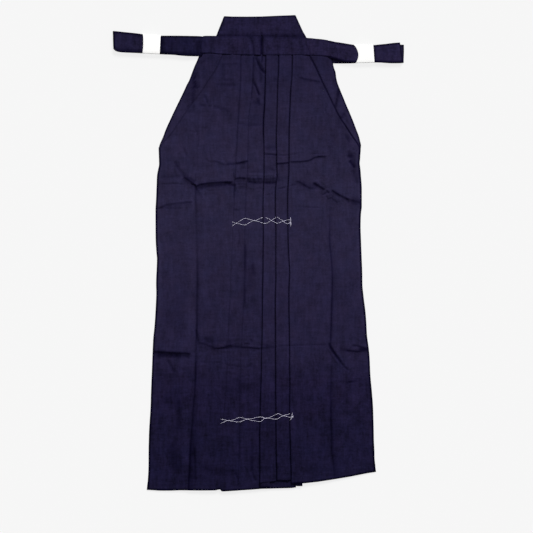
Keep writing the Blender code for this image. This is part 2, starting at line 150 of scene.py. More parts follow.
# Seams and hems as (X, Y) in millimetres, layer by layer.
WAIST_SEAM = ((-132.7, 456.0), (-110.0, 456.0), (-76.0, 452.7),
              (-19.0, 451.0), (15.0, 450.8), (117.0, 451.6), (162.0, 449.5),
              (168.0, 448.8))
BACK_SEAM = ((-136.0, 450.0), (-131.0, 456.4), (-112.0, 455.4),
             (-60.0, 452.0), (4.0, 451.0), (124.7, 451.2), (160.0, 450.4),
             (168.4, 449.0), (169.6, 441.0))
HEMS = {
    "back_right": ((-253.0, -536.0), (-178.0, -537.0), (-106.0, -537.2),
                   (-96.0, -535.4), (-88.0, -535.0), (-80.0, -536.8),
                   (4.0, -532.6)),
    "back_left": ((4.0, -527.0), (98.0, -521.0), (135.0, -517.3),
                  (171.5, -511.8), (207.8, -505.9), (244.0, -498.7),
                  (266.0, -495.4)),
    "front_right_top": ((-253.0, -537.2), (-223.5, -538.9),
                        (-200.8, -538.9), (-178.0, -538.0),
                        (-132.7, -538.3), (-100.9, -538.0),
                        (-96.5, -537.8), (-91.5, -536.2), (-87.0, -535.8),
                        (-82.7, -537.3)),
    "front_right_mid": ((-106.0, -536.6), (-96.0, -535.4), (-88.0, -535.2),
                        (-85.4, -538.0), (-83.2, -540.6), (-69.0, -539.8),
                        (-46.3, -538.3)),
    "front_right_low": ((-69.0, -539.2), (-46.3, -538.3), (-14.6, -536.2),
                        (12.6, -534.1), (24.0, -533.8)),
    "front_left_low": ((2.7, -532.0), (26.0, -531.2)),
    "front_left_1": ((2.7, -521.0), (20.0, -519.2), (41.8, -515.6),
                     (63.0, -518.0)),
    "front_left_2": ((41.8, -514.6), (74.6, -514.4), (80.0, -526.0),
                     (86.0, -528.6), (97.6, -528.4)),
    "front_left_top": ((73.8, -522.9), (98.9, -522.1), (107.9, -521.4),
                       (135.2, -518.5), (171.5, -513.0), (207.8, -507.1),
                       (244.1, -499.9), (266.0, -496.4)),
}


def curve(table, levels):
    """Smooth value of a (level, place) table, without overshoot (pchip)."""
    t = np.array(table, float)
    t = t[np.argsort(t[:, 0])]
    x, y = t[:, 0], t[:, 1]
    h = np.diff(x)
    d = np.diff(y) / h
    m = np.zeros_like(y)
    same = d[:-1] * d[1:] > 0
    w1, w2 = 2 * h[1:] + h[:-1], h[1:] + 2 * h[:-1]
    with np.errstate(divide="ignore", invalid="ignore"):
        mid = (w1 + w2) / (w1 / d[:-1] + w2 / d[1:])
    m[1:-1] = np.where(same, mid, 0.0)
    m[0], m[-1] = d[0], d[-1]
    q = np.clip(np.asarray(levels, float), x[0], x[-1])
    i = np.clip(np.searchsorted(x, q) - 1, 0, len(h) - 1)
    s = (q - x[i]) / h[i]
    return ((1 + 2 * s) * (1 - s) ** 2 * y[i] + s * (1 - s) ** 2 * h[i] * m[i]
            + s * s * (3 - 2 * s) * y[i + 1] + s * s * (s - 1) * h[i] * m[i + 1])


def line_x(table, y):
    """X in millimetres of a (level, place) table, at Y in millimetres."""
    return mx(curve(table, PX_Y - np.asarray(y, float) / PX))


def along(table, x):
    t = np.array(table, float)
    return np.interp(x, t[:, 0], t[:, 1])


def ease(t):
    t = np.clip(t, 0.0, 1.0)
    return t * t * (3 - 2 * t)


# ------------------------------------------------------------------- noise
def noise(x, y, size, seed):
    """Smooth value noise from -1 to 1, with features about size across."""
    u, v = np.asarray(x, float) / size, np.asarray(y, float) / size
    i, j = np.floor(u), np.floor(v)
    fu, fv = u - i, v - j
    su, sv = fu * fu * fu * (fu * (fu * 6 - 15) + 10), fv * fv * fv * (fv * (fv * 6 - 15) + 10)

    def grad(a, b, du, dv):
        k = np.sin(a * 127.1 + b * 311.7 + seed * 74.7) * 43758.5453
        ang = (k - np.floor(k)) * 2 * math.pi
        return np.cos(ang) * du + np.sin(ang) * dv

    n00, n10 = grad(i, j, fu, fv), grad(i + 1, j, fu - 1, fv)
    n01, n11 = grad(i, j + 1, fu, fv - 1), grad(i + 1, j + 1, fu - 1, fv - 1)
    low, high = n00 + su * (n10 - n00), n01 + su * (n11 - n01)
    return 1.6 * (low + sv * (high - low))


# ----------------------------------------------------------------- creases
# kind, height and reach in millimetres, then the stroke in the picture.
# terrace: high above the stroke and falling below it. side is how far the
#   lower flank runs out, reach how far the upper side stays raised.
# groove and ridge: a soft line of that height, with side as its width.
# Strokes run from left to right; fade is how softly the ends run out.
# The last two, where given: how dark the crease's painted shade is, from 0
# to 1 (below 0 a painted highlight), and how wide its dark line is.
CREASE_GAIN = 1.5
CREASE_COLUMNS = ("kind", "height", "side", "reach", "fade", "stroke",
                  "tone", "wide")
CREASES = (
    # first packing fold, right leg's side
    ("terrace", 2.3, 11, 30, 3, ((183.4, 176.4), (187.2, 178.6),
                                 (190.6, 180.9), (193.5, 183.3),
                                 (196.6, 186.0), (199.5, 184.2),
                                 (205, 183.3), (211, 182.4), (219, 182.0),
                                 (226, 181.6), (233.2, 181.6)), 0.97, 6.8),
    ("groove", 0.5, 3.0, 0, 3, ((186.0, 176.6), (191.0, 179.4),
                                (195.6, 182.6)), 0.52, 3.6),
    ("groove", 0.4, 3.0, 0, 3, ((197.4, 187.6), (203.6, 188.6)), 0.46, 3.8),
    ("groove", 0.4, 3.4, 0, 4, ((202.0, 186.4), (218.0, 185.4),
                                (236.0, 185.2)), 0.48, 4.4),
    ("groove", 1.1, 2.4, 0, 3, ((194.6, 184.0), (196.0, 188.2),
                                (196.6, 191.6)), 0.5, 2.4),
    ("groove", 0.6, 2.4, 0, 3, ((195.4, 172.6), (195.6, 182.0)), 0.36),
    ("groove", 0.9, 3.8, 0, 4, ((175.2, 160.4), (176.4, 165.0),
                                (178.8, 169.0), (182.2, 173.0),
                                (185.4, 178.0)), 0.50, 3.4),
    ("groove", 0.5, 6.0, 0, 4, ((183.4, 173.6), (188.4, 177.2)), 0.26, 5.0),
    ("groove", 0.5, 5.0, 0, 6, ((160.0, 176.8), (172.0, 177.2),
                                (182.0, 176.0)), 0.26, 4.4),
    ("groove", 0.5, 1.6, 0, 6, ((158.4, 184.2), (168.0, 184.0),
                                (176.0, 183.8), (183.6, 184.6)), 0.24),
    # the crumpled middle of the first fold
    ("terrace", 1.8, 5, 26, 2.5, ((234.6, 178.4), (240.0, 177.4),
                                  (246.6, 178.0)), 0.86, 2.6),
    ("groove", 0.4, 6.0, 0, 3, ((235.4, 181.4), (246.0, 181.6)), 0.32, 6.0),
    ("groove", 0.5, 3.2, 0, 3, ((277.8, 173.6), (278.0, 183.0)), 0.30, 3.2),
    ("groove", 0.4, 4.4, 0, 3, ((263.8, 147.6), (276.4, 148.0)), 0.36, 4.4),
    ("groove", 0.4, 3.0, 0, 3, ((226.4, 163.8), (246.6, 163.0)), 0.46, 3.0),
    ("groove", 0.4, 6.0, 0, 4, ((262.6, 168.4), (274.0, 169.2)), 0.22, 6.0),
    ("groove", 0.4, 6.0, 0, 5, ((240.0, 168.0), (258.0, 169.6)), 0.12, 7.0),
    ("terrace", 1.6, 8, 22, 3, ((246.0, 177.8), (254.0, 178.6),
                                (262.8, 178.2)), 0.55, 6.0),
    ("terrace", 1.4, 8, 22, 3, ((263.4, 178.6), (270.0, 178.8),
                                (277.2, 177.4)), 0.50, 6.0),
    ("groove", 1.1, 3.0, 0, 3, ((224.0, 183.4), (228.6, 183.8),
                                (232.0, 183.4)), 0.55, 3.0),
    ("groove", 0.9, 2.2, 0, 2, ((231.4, 184.8), (234.0, 185.8),
                                (236.6, 184.6)), 0.62),
    ("groove", 0.5, 1.5, 0, 4, ((236.0, 184.4), (247.4, 184.2)), 0.34),
    ("groove", 1.1, 3.0, 0, 3, ((247.6, 181.6), (254.0, 183.0),
                                (262.8, 183.2)), 0.62, 3.0),
    ("groove", 1.0, 2.8, 0, 3, ((263.6, 182.8), (270.0, 183.2),
                                (277.0, 182.4)), 0.70, 3.2),
    ("groove", 0.8, 1.9, 0, 2, ((248.2, 178.0), (248.8, 183.6)), 0.6),
    ("groove", 0.7, 1.8, 0, 2, ((252.6, 177.4), (254.4, 183.6)), 0.40),
    ("groove", 0.7, 1.6, 0, 2, ((257.4, 176.2), (258.6, 182.8)), 0.42),
    ("groove", 0.6, 1.8, 0, 2, ((261.0, 178.8), (262.8, 183.6)), 0.46),
    ("groove", 0.6, 1.6, 0, 2, ((267.0, 178.6), (266.2, 184.4)), 0.34),
    ("groove", 0.6, 1.6, 0, 2, ((270.4, 180.4), (269.4, 185.0)), 0.30),
    ("groove", 0.6, 1.6, 0, 2, ((273.2, 176.0), (272.0, 184.6)), 0.40),
    ("ridge", 0.6, 2.2, 0, 3, ((248.4, 175.2), (258.0, 174.6),
                               (266.0, 175.4), (274.0, 174.2)), -0.10, 4.0),
    ("ridge", 0.7, 2.6, 0, 5, ((247, 187.2), (256, 188.4), (266, 187.4))),
    ("groove", 0.7, 2.6, 0, 3, ((234.6, 185.0), (235.0, 193.0)), 0.36, 2.2),
    ("groove", 0.5, 4.4, 0, 3, ((238.0, 187.4), (247.6, 187.6)), 0.24, 5.0),
    ("groove", 0.5, 2.0, 0, 4, ((255.0, 188.8), (262.8, 187.4)), 0.28),
    ("groove", 0.4, 3.4, 0, 5, ((249.0, 171.8), (262.6, 172.6)), 0.14, 3.4),
    ("groove", 0.4, 3.0, 0, 4, ((268.0, 168.6), (276.4, 171.6)), 0.16, 3.4),
    ("groove", 0.4, 2.6, 0, 4, ((237.4, 189.6), (237.0, 199.6)), 0.16, 2.6),
    # right-hand side of the first fold, running down to the right
    ("terrace", 1.4, 7, 16, 4, ((296.6, 180.0), (301.6, 182.8),
                                (306.0, 185.4), (311.0, 188.2)), 0.78, 5.2),
    ("groove", 0.4, 6.0, 0, 5, ((298.0, 181.4), (308.0, 185.4),
                                (317.4, 187.8)), 0.32, 6.6),
    ("terrace", 0.6, 4, 8, 3, ((308.0, 187.6), (316.6, 188.0)), 0.34),
    ("terrace", 1.9, 6, 16, 3, ((313.0, 181.8), (318.0, 184.9),
                                (321.6, 187.2), (325.4, 189.5)), 0.93, 3.6),
    ("groove", 0.8, 3.4, 0, 2.5, ((313.6, 183.0), (318.2, 187.0)), 0.54,
     4.2),
    ("terrace", 2.0, 6, 18, 3, ((331.6, 189.4), (336.2, 192.5),
                                (340.6, 195.0), (345.0, 197.2),
                                (349.4, 199.2)), 0.93, 3.5),
    ("ridge", 0.4, 2.8, 0, 3, ((334.4, 197.2), (341.6, 200.4)), -0.12, 3.0),
    ("groove", 0.8, 2.4, 0, 2, ((345.6, 198.8), (348.0, 201.8),
                                (349.0, 203.4)), 0.40, 3.2),
    ("terrace", 1.5, 9, 16, 4, ((347.4, 198.2), (354.4, 200.6),
                                (361.8, 202.2)), 0.58, 6.2),
    ("groove", 0.5, 6.0, 0, 3, ((350.6, 200.6), (361.6, 202.4)), 0.46, 8.6),
    ("groove", 0.8, 1.9, 0, 2, ((321.2, 194.8), (324.0, 194.2),
                                (327.0, 192.2), (329.8, 192.6)), 0.68),
    ("groove", 0.7, 1.7, 0, 2, ((326.0, 189.8), (328.8, 193.8)), 0.6),
    ("groove", 0.6, 1.7, 0, 2, ((325.8, 195.6), (328.2, 199.0),
                                (331.6, 197.8), (334.0, 200.6),
                                (338.0, 203.2)), 0.56),
    ("groove", 0.4, 1.6, 0, 2, ((331.4, 195.0), (333.8, 198.0)), 0.28),
    ("ridge", 0.5, 2.0, 0, 3, ((319.6, 178.6), (323.6, 182.4),
                               (327.4, 187.0)), -0.12, 2.6),
    ("groove", 0.4, 2.0, 0, 3, ((318.6, 180.8), (322.6, 183.8)), 0.26),
    ("groove", 0.5, 3.0, 0, 3, ((290.4, 184.6), (297.6, 184.8)), 0.24, 2.6),
    ("groove", 0.5, 3.6, 0, 4, ((276.4, 179.6), (284.0, 181.8)), 0.22, 3.4),
    # fine creases above the first fold
    ("groove", 0.8, 1.7, 0, 2.5, ((263.8, 154.3), (271.0, 154.5),
                                  (277.4, 155.3)), 0.70, 1.9),
    ("groove", 0.5, 1.8, 0, 4, ((277.6, 155.2), (284.0, 155.6),
                                (288.4, 155.0), (297.0, 153.8)), 0.34),
    ("terrace", 0.6, 4, 10, 4, ((213.0, 160.4), (219.6, 161.9),
                                (224.0, 164.1), (236.8, 163.9)), 0.46),
    ("groove", 0.4, 1.8, 0, 3, ((204.8, 158.0), (208.6, 161.4),
                                (213.0, 163.0)), 0.26),
    ("terrace", 1.4, 5, 14, 2, ((236.2, 163.4), (240.0, 162.2),
                                (244.0, 161.3), (248.4, 160.6)), 0.86, 2.2),
    ("terrace", 1.5, 4, 14, 2, ((276.2, 163.4), (283.0, 163.0),
                                (289.6, 162.1)), 0.92, 1.9),
    ("terrace", 1.4, 4, 14, 3, ((289.6, 161.5), (298.0, 161.3),
                                (304.0, 160.9), (308.4, 160.3),
                                (311.4, 159.0), (314.4, 157.2),
                                (318.6, 156.2), (327.0, 156.2)), 0.80, 1.8),
    ("groove", 0.4, 1.6, 0, 4, ((309.0, 154.6), (315.6, 153.6),
                                (326.0, 153.8)), 0.28),
    ("groove", 0.4, 1.8, 0, 4, ((306.2, 167.4), (309.2, 176.0)), 0.28),
    ("groove", 0.8, 1.6, 0, 2.5, ((277.0, 188.8), (281.0, 188.6),
                                  (285.6, 187.0)), 0.54),
    ("groove", 0.4, 1.6, 0, 4, ((285.6, 187.0), (296.0, 184.8)), 0.20),
    ("groove", 0.4, 1.8, 0, 4, ((264.8, 195.4), (273.0, 193.8)), 0.22),
    ("groove", 0.5, 2.6, 0, 5, ((337.6, 158.0), (338.8, 166.0),
                                (336.0, 175.0)), 0.20),
    ("groove", 0.45, 2.6, 0, 5, ((329.6, 145.0), (329.8, 158.0)), 0.22),
    ("groove", 0.4, 2.6, 0, 5, ((331.0, 168.0), (327.6, 178.0),
                                (325.0, 183.0)), 0.16),
    # the faint fold below it, and small marks round it
    ("terrace", 1.0, 9, 16, 3, ((157.0, 208.6), (161.6, 206.4),
                                (167.6, 203.8), (178.0, 202.6),
                                (192.6, 201.6)), 0.44, 4.0),
    ("groove", 0.6, 2.2, 0, 3, ((157.2, 208.4), (163.0, 207.8)), 0.45),
    ("groove", 0.4, 1.8, 0, 4, ((164.0, 208.8), (182.4, 208.4)), 0.24),
    ("groove", 0.5, 1.7, 0, 3, ((183.6, 202.2), (193.0, 202.0)), 0.34),
    ("groove", 0.6, 1.8, 0, 3, ((232.6, 209.6), (240, 210.4)), 0.45),
    ("groove", 0.4, 1.7, 0, 4, ((303.4, 207.0), (312.0, 207.4),
                                (320.0, 207.6)), 0.34),
    ("groove", 0.4, 1.7, 0, 5, ((206.0, 191.0), (216.0, 190.2)), 0.14),
    ("groove", 0.9, 3.6, 0, 4, ((348.4, 150.0), (350.6, 158.6)), 0.42, 4.4),
    ("groove", 0.7, 3.6, 0, 2.5, ((346.6, 155.6), (350.0, 156.2),
                                  (353.6, 155.4)), 0.52, 4.8),
    ("groove", 0.5, 3.0, 0, 2.5, ((345.8, 135.4), (349.0, 137.6),
                                  (351.4, 141.0)), 0.30, 3.6),
    ("groove", 0.5, 6.0, 0, 4, ((350.8, 153.0), (353.0, 160.0),
                                (355.4, 169.0)), 0.42, 6.0),
    ("groove", 0.4, 5.0, 0, 4, ((347.2, 138.6), (350.2, 148.6)), 0.34, 5.0),
    ("groove", 0.4, 5.0, 0, 4, ((338.6, 115.6), (340.2, 129.4)), 0.24, 5.0),
    ("groove", 0.4, 3.4, 0, 5, ((358.4, 166.0), (358.8, 180.0)), 0.24, 3.4),
    ("groove", 0.4, 5.0, 0, 10, ((330.4, 124.0), (330.6, 156.0)), 0.12,
     5.0),
    ("groove", 0.4, 5.0, 0, 10, ((342.4, 124.0), (343.0, 156.0)), 0.13,
     5.0),
    ("ridge", 0.3, 9.0, 0, 10, ((309.0, 165.6), (321.4, 168.0)), -0.07,
     13.0),
    ("ridge", 0.3, 5.0, 0, 4, ((342.4, 170.4), (342.8, 178.0)), -0.10, 5.0),
    ("groove", 0.3, 5.4, 0, 6, ((159.4, 207.4), (181.0, 206.4)), 0.18, 5.4),
    ("groove", 0.4, 12.0, 0, 10, ((199.0, 215.0), (213.0, 229.4)), 0.09,
     12.0),
    ("groove", 0.4, 8.0, 0, 10, ((220.4, 217.0), (220.0, 238.0)), 0.09,
     8.0),
    ("groove", 0.4, 3.4, 0, 3, ((234.2, 236.8), (234.0, 242.6)), 0.22, 3.4),
    ("groove", 1.2, 3.0, 0, 2, ((349.2, 160.0), (352.0, 163.8),
                                (355.0, 168.0)), 0.96, 3.4),
    ("groove", 0.6, 5.0, 0, 4, ((352.6, 168.6), (355.0, 176.0),
                                (357.4, 184.0)), 0.42, 6.0),
    ("ridge", 0.6, 4.0, 0, 6, ((344.6, 156.0), (348.4, 164.4)), -0.06, 4.0),
    ("groove", 0.5, 1.6, 0, 2, ((352.4, 148.4), (356.4, 151.0),
                                (359.0, 149.0)), 0.42),
    ("groove", 0.5, 1.6, 0, 2, ((354.0, 146.0), (358.6, 147.8)), 0.36),
    ("groove", 0.5, 1.6, 0, 2, ((353.0, 152.6), (357.0, 155.4)), 0.30),
    # second packing fold
    ("terrace", 2.6, 10, 34, 2, ((151.6, 351.3), (160, 351.5),
                                 (168.4, 351.9), (172.0, 352.3),
                                 (178.7, 352.5), (186.0, 352.8),
                                 (190.8, 353.6)), 0.86, 6.4),
    ("groove", 0.4, 5.0, 0, 3, ((157.0, 354.0), (168.0, 354.2),
                                (182.0, 354.8)), 0.40, 5.6),
    ("groove", 0.4, 7.0, 0, 5, ((204.0, 337.0), (209.0, 343.0),
                                (217.0, 349.0)), 0.22, 9.0),
    ("groove", 0.4, 4.0, 0, 3, ((224.0, 346.0), (232.0, 346.6),
                                (241.0, 346.4)), 0.36, 4.6),
    ("groove", 0.4, 2.4, 0, 3, ((263.6, 346.2), (273.0, 345.8)), 0.36, 3.0),
    ("groove", 0.4, 3.4, 0, 3, ((247.0, 364.6), (252.0, 366.4),
                                (257.6, 370.8)), 0.30, 3.2),
    ("groove", 0.4, 3.0, 0, 3, ((253.0, 262.0), (252.8, 270.0),
                                (255.2, 277.0)), 0.34, 3.2),
    ("groove", 0.4, 6.0, 0, 5, ((250.6, 264.0), (250.0, 288.0)), 0.16, 8.0),
    ("groove", 0.4, 3.0, 0, 3, ((251.0, 296.0), (252.6, 303.0)), 0.26, 4.6),
    ("groove", 0.4, 3.4, 0, 4, ((179.4, 366.0), (180.8, 372.4)), 0.28, 3.4),
    ("groove", 0.5, 5.0, 0, 4, ((228.0, 339.4), (231.4, 345.0)), 0.36, 5.0),
    ("groove", 0.7, 3.4, 0, 3, ((250.2, 338.4), (252.8, 343.2)), 0.56, 3.6),
    ("groove", 0.4, 7.0, 0, 6, ((202.0, 338.0), (218.6, 342.6)), 0.18, 7.0),
    ("groove", 0.4, 2.2, 0, 4, ((256.6, 345.2), (269.6, 345.0)), 0.30, 2.2),
    ("groove", 0.3, 3.0, 0, 6, ((199.6, 361.8), (223.4, 362.6)), 0.17, 3.0),
    ("groove", 0.6, 5.0, 0, 3, ((156.0, 355.8), (168.0, 355.8),
                                (176.0, 356.2), (182.0, 356.6)), 0.52, 4.4),
    ("groove", 0.5, 2.6, 0, 3, ((182.0, 355.4), (186.0, 356.8),
                                (190.0, 357.8)), 0.42, 2.4),
    ("groove", 0.9, 3.0, 0, 4, ((167.0, 359.4), (169.6, 363.2),
                                (172.2, 367.8), (175.0, 373.0)), 0.46, 2.8),
    ("groove", 0.4, 1.8, 0, 3, ((158.4, 344.0), (158.6, 360.0)), 0.30),
    ("groove", 0.9, 2.6, 0, 3, ((195.4, 329.0), (197.4, 338.0),
                                (199.0, 342.6)), 0.50, 2.6),
    ("groove", 0.7, 1.9, 0, 2, ((193.8, 352.4), (195.8, 350.0),
                                (196.6, 346.0)), 0.34),
    ("terrace", 1.1, 6, 22, 3, ((197.4, 342.0), (204.4, 343.0),
                                (209.6, 345.6), (215.0, 347.0)), 0.54, 4.2),
    ("terrace", 1.3, 6, 22, 2.5, ((213.0, 347.6), (219.0, 347.8),
                                  (224.6, 346.6), (228.8, 345.2),
                                  (232.6, 344.8)), 0.80, 3.3),
    ("groove", 0.8, 2.0, 0, 3, ((217.6, 348.8), (226.0, 348.6),
                                (231.6, 347.8)), 0.5),
    ("terrace", 0.9, 5, 20, 2.5, ((231.0, 346.0), (240.6, 346.2)), 0.50,
     2.6),
    ("terrace", 1.3, 5, 22, 2, ((240.0, 346.6), (246.6, 346.9),
                                (253.4, 347.4), (259.4, 348.0)), 0.90, 2.2),
    ("groove", 0.7, 1.6, 0, 2, ((243.4, 343.9), (250.4, 343.7)), 0.66),
    ("terrace", 0.8, 5, 20, 4, ((257.0, 348.0), (261.9, 347.4),
                                (277, 346.2)), 0.50, 3.0),
    ("groove", 0.5, 5.0, 0, 5, ((199.0, 339.0), (212.0, 341.0),
                                (226.0, 341.6)), 0.22, 5.0),
    ("groove", 0.4, 1.9, 0, 8, ((277, 345.8), (300, 345.2),
                                (329, 344.8)), 0.34),
    ("groove", 1.7, 1.9, 0, 2, ((328.6, 342.8), (330.4, 347.2),
                                (333.4, 351.8), (337.4, 357.8),
                                (341.2, 362.4)), 0.98, 3.0),
    ("groove", 0.3, 1.9, 0, 2, ((332.4, 350.4), (337.4, 357.8),
                                (341.6, 362.8)), 0.55, 2.2),
    ("groove", 1.3, 1.7, 0, 3, ((340.2, 361.8), (344.6, 366.8),
                                (348.8, 370.6)), 0.84, 1.8),
    ("groove", 0.4, 1.8, 0, 4, ((349.4, 369.4), (352.2, 373.0),
                                (352.8, 378.0)), 0.26),
    ("ridge", 1.2, 2.8, 0, 4, ((327.8, 347.6), (331.2, 353.4),
                               (335.2, 359.4), (339.8, 365.0)), -0.14, 2.2),
    ("groove", 0.6, 5.0, 0, 4, ((337.6, 349.8), (352.0, 350.6)), 0.37, 4.8),
    ("terrace", 1.3, 4, 16, 2.5, ((346.0, 349.8), (352.6, 350.6),
                                  (358.6, 351.0), (363.6, 350.0),
                                  (370.0, 348.6)), 0.90, 2.8),
    ("groove", 0.9, 1.7, 0, 2, ((352.0, 345.5), (357.6, 345.9),
                                (361.4, 347.4), (366.4, 348.8)), 0.88, 1.9),
    ("groove", 0.8, 2.6, 0, 2, ((358.6, 349.2), (367.6, 349.6)), 0.76, 3.8),
    ("ridge", 0.5, 1.6, 0, 2, ((352.6, 348.6), (357.6, 348.9)), -0.15, 1.6),
    ("groove", 0.9, 1.8, 0, 3, ((345.0, 383.6), (350.2, 381.7),
                                (355.0, 380.9), (361.0, 379.2)), 0.80, 2.3),
    ("groove", 0.5, 4.0, 0, 4, ((329.4, 354.0), (330.0, 362.0)), 0.16, 4.0),
    ("groove", 0.8, 2.2, 0, 2, ((225.4, 360.0), (226.4, 365.4)), 0.55),
    ("groove", 0.4, 2.4, 0, 5, ((226.6, 364.4), (236, 366.2),
                                (247.8, 367.4)), 0.34),
    ("groove", 0.35, 2.2, 0, 5, ((248.6, 362.8), (254, 365.6),
                                 (260, 369.6)), 0.24),
    ("groove", 0.4, 2.2, 0, 3, ((213.8, 361.4), (218.4, 363.0)), 0.30),
    ("groove", 0.35, 2.2, 0, 5, ((200.0, 361.4), (208.0, 363.6)), 0.16),
    ("groove", 0.4, 3.0, 0, 6, ((212.0, 383.0), (222.0, 388.6),
                                (234.0, 391.0), (248.0, 393.6)), 0.24, 3.0),
    ("groove", 0.4, 3.0, 0, 6, ((232.0, 378.4), (238.6, 382.4),
                                (246.0, 384.0)), 0.26, 3.4),
    ("groove", 0.4, 8.0, 0, 8, ((236, 386), (248, 388), (258, 390)), 0.20,
     9.0),
    ("groove", 0.3, 2.6, 0, 6, ((228, 372), (240, 376.6), (252, 375)),
     0.18),
    # creases that fan out below the waistband
    ("groove", 1.9, 2.8, 0, 2.5, ((255.6, 56.8), (258.2, 63.2),
                                  (260.6, 67.8), (263.2, 71.6),
                                  (265.6, 73.4)), 0.88, 2.5),
    ("groove", 0.8, 3.2, 0, 2.5, ((259.0, 66.0), (263.0, 71.0)), 0.5, 3.6),
    ("ridge", 1.0, 3.0, 0, 4, ((259.4, 57.0), (261.4, 62.0),
                               (264.0, 66.6))),
    ("groove", 0.9, 1.9, 0, 2, ((262.2, 55.0), (261.8, 63.6)), 0.62, 1.8),
    ("groove", 1.0, 2.0, 0, 3, ((253.5, 56.6), (253.4, 68.0),
                                (253.1, 82.4)), 0.66, 2.1),
    ("groove", 0.5, 1.8, 0, 3, ((252.2, 86.0), (251.4, 96.6)), 0.40),
    ("groove", 1.2, 2.0, 0, 2.5, ((253.2, 81.4), (256.3, 87.4),
                                  (259.4, 96.0)), 0.86, 2.5),
    ("groove", 0.6, 3.4, 0, 3, ((259.2, 66.0), (260.6, 74.0),
                                (260.4, 83.0)), 0.36, 3.4),
    ("groove", 0.9, 3.0, 0, 2.5, ((257.2, 97.6), (259.8, 106.4)), 0.56,
     3.4),
    ("groove", 0.6, 5.4, 0, 3, ((251.4, 101.8), (259.6, 103.6)), 0.40, 5.4),
    ("groove", 0.4, 8.0, 0, 10, ((256.0, 102.0), (257.0, 127.0)), 0.14,
     9.0),
    ("groove", 0.5, 2.6, 0, 4, ((237.0, 123.4), (248.0, 124.9),
                                (261.0, 125.4)), 0.36, 2.8),
    ("terrace", 0.6, 6, 10, 6, ((206, 64.2), (224.0, 63.4),
                                (240, 63.2)), 0.26, 3.0),
    ("terrace", 1.1, 8, 14, 3.5, ((299.6, 76.6), (304.0, 78.4),
                                  (312.0, 79.8), (321.0, 81.4)), 0.58, 4.6),
    ("groove", 0.5, 3.0, 0, 2.5, ((273.0, 79.0), (277.6, 79.4)), 0.42, 2.6),
    ("groove", 0.4, 2.4, 0, 5, ((266, 81.2), (275, 81.6), (290, 80.8)),
     0.22),
    ("groove", 0.8, 2.2, 0, 3, ((203.6, 94.0), (206.0, 99.0),
                                (207.8, 104.6)), 0.42, 2.2),
    ("groove", 0.8, 3.6, 0, 3, ((198.4, 105.2), (206.4, 105.8)), 0.44, 3.2),
    ("groove", 0.7, 2.0, 0, 2, ((207.2, 106.2), (212.0, 106.2)), 0.54),
    ("groove", 0.7, 3.4, 0, 4, ((212.6, 106.0), (220.0, 108.6),
                                (230.0, 111.4)), 0.42, 3.0),
    ("groove", 0.5, 4.2, 0, 5, ((222.0, 64.0), (222.4, 82.0)), 0.18, 4.2),
    ("groove", 0.5, 2.6, 0, 3, ((223.0, 80.0), (232.4, 80.6)), 0.38, 2.4),
    ("groove", 0.5, 5.0, 0, 4, ((215.0, 85.0), (237.0, 85.8)), 0.28, 5.4),
    ("groove", 0.6, 2.6, 0, 4, ((194.4, 103.4), (193.4, 108.0),
                                (192.4, 112.6)), 0.36, 2.4),
    ("groove", 0.5, 3.0, 0, 4, ((190.0, 108.0), (188.0, 114.0)), 0.26, 3.0),
    ("groove", 0.7, 2.8, 0, 6, ((183.0, 146.4), (187.4, 158.4)), 0.26, 2.8),
    ("ridge", 0.5, 5.5, 0, 8, ((332, 120), (327, 134), (325, 152))),
    ("groove", 0.5, 5.0, 0, 8, ((338, 122), (333.5, 135), (332, 150)),
     0.18, 5.0),
    ("groove", 0.35, 4.2, 0, 8, ((182, 112), (184.5, 130), (191, 141)),
     0.12),
    ("groove", 0.75, 2.8, 0, 8, ((192.4, 122.6), (196.6, 130.4),
                                 (198.4, 138.0), (198.2, 147.0)), 0.24),
    ("groove", 0.4, 2.4, 0, 3, ((324.6, 110.0), (327.0, 113.4),
                                (329.4, 117.6)), 0.28),
    ("groove", 0.8, 3.0, 0, 4, ((344.6, 134.0), (350.2, 143.0)), 0.40, 2.8),
    ("groove", 0.4, 2.6, 0, 4, ((206.0, 122.0), (205.0, 132.0)), 0.16),
    # small marks lower down
    ("groove", 0.5, 1.8, 0, 3, ((334.6, 287.8), (337.6, 290.4)), 0.4),
    ("groove", 0.45, 2.2, 0, 5, ((238.4, 229.5), (239.6, 238.4),
                                 (238.0, 247.4)), 0.28),
    ("ridge", 0.4, 7.0, 0, 20, ((190.6, 262.0), (190.6, 300.0),
                                (190.0, 338.0)), -0.17, 7.0),
    ("ridge", 0.3, 5.0, 0, 14, ((202.6, 268.0), (203.0, 300.0)), -0.08,
     6.0),
    ("groove", 0.5, 12.0, 0, 16, ((166, 308), (168, 332)), 0.19, 13.0),
    ("groove", 0.4, 7.0, 0, 6, ((181.4, 330.0), (181.8, 340.0)), 0.18, 7.0),
    ("groove", 0.4, 5.0, 0, 5, ((160.0, 260.6), (160.4, 268.0)), 0.18, 5.0),
    ("ridge", 0.3, 6.0, 0, 5, ((159.8, 275.6), (160.0, 284.6)), -0.11, 6.0),
    ("groove", 0.4, 8.0, 0, 14, ((249.0, 262.0), (249.2, 296.0)), 0.13,
     9.0),
    ("groove", 0.4, 4.0, 0, 5, ((251.4, 258.0), (252.6, 266.0),
                                (254.0, 276.0)), 0.20, 4.0),
    ("groove", 0.4, 5.0, 0, 6, ((253.0, 300.0), (255.0, 318.0)), 0.16, 5.0),
    ("groove", 0.5, 9.0, 0, 12, ((177.0, 292.0), (179.0, 342.0)), 0.13,
     9.0),
    ("groove", 0.4, 8.0, 0, 8, ((228.0, 338.0), (238.0, 346.0)), 0.14, 9.0),
    ("groove", 0.4, 5.0, 0, 6, ((179.0, 396.6), (179.2, 409.0)), 0.22, 5.0),
    ("groove", 0.4, 7.0, 0, 10, ((175.0, 422.0), (175.2, 447.0)), 0.20,
     7.0),
    ("groove", 0.4, 7.0, 0, 6, ((198.6, 474.0), (206.6, 481.6)), 0.18, 7.0),
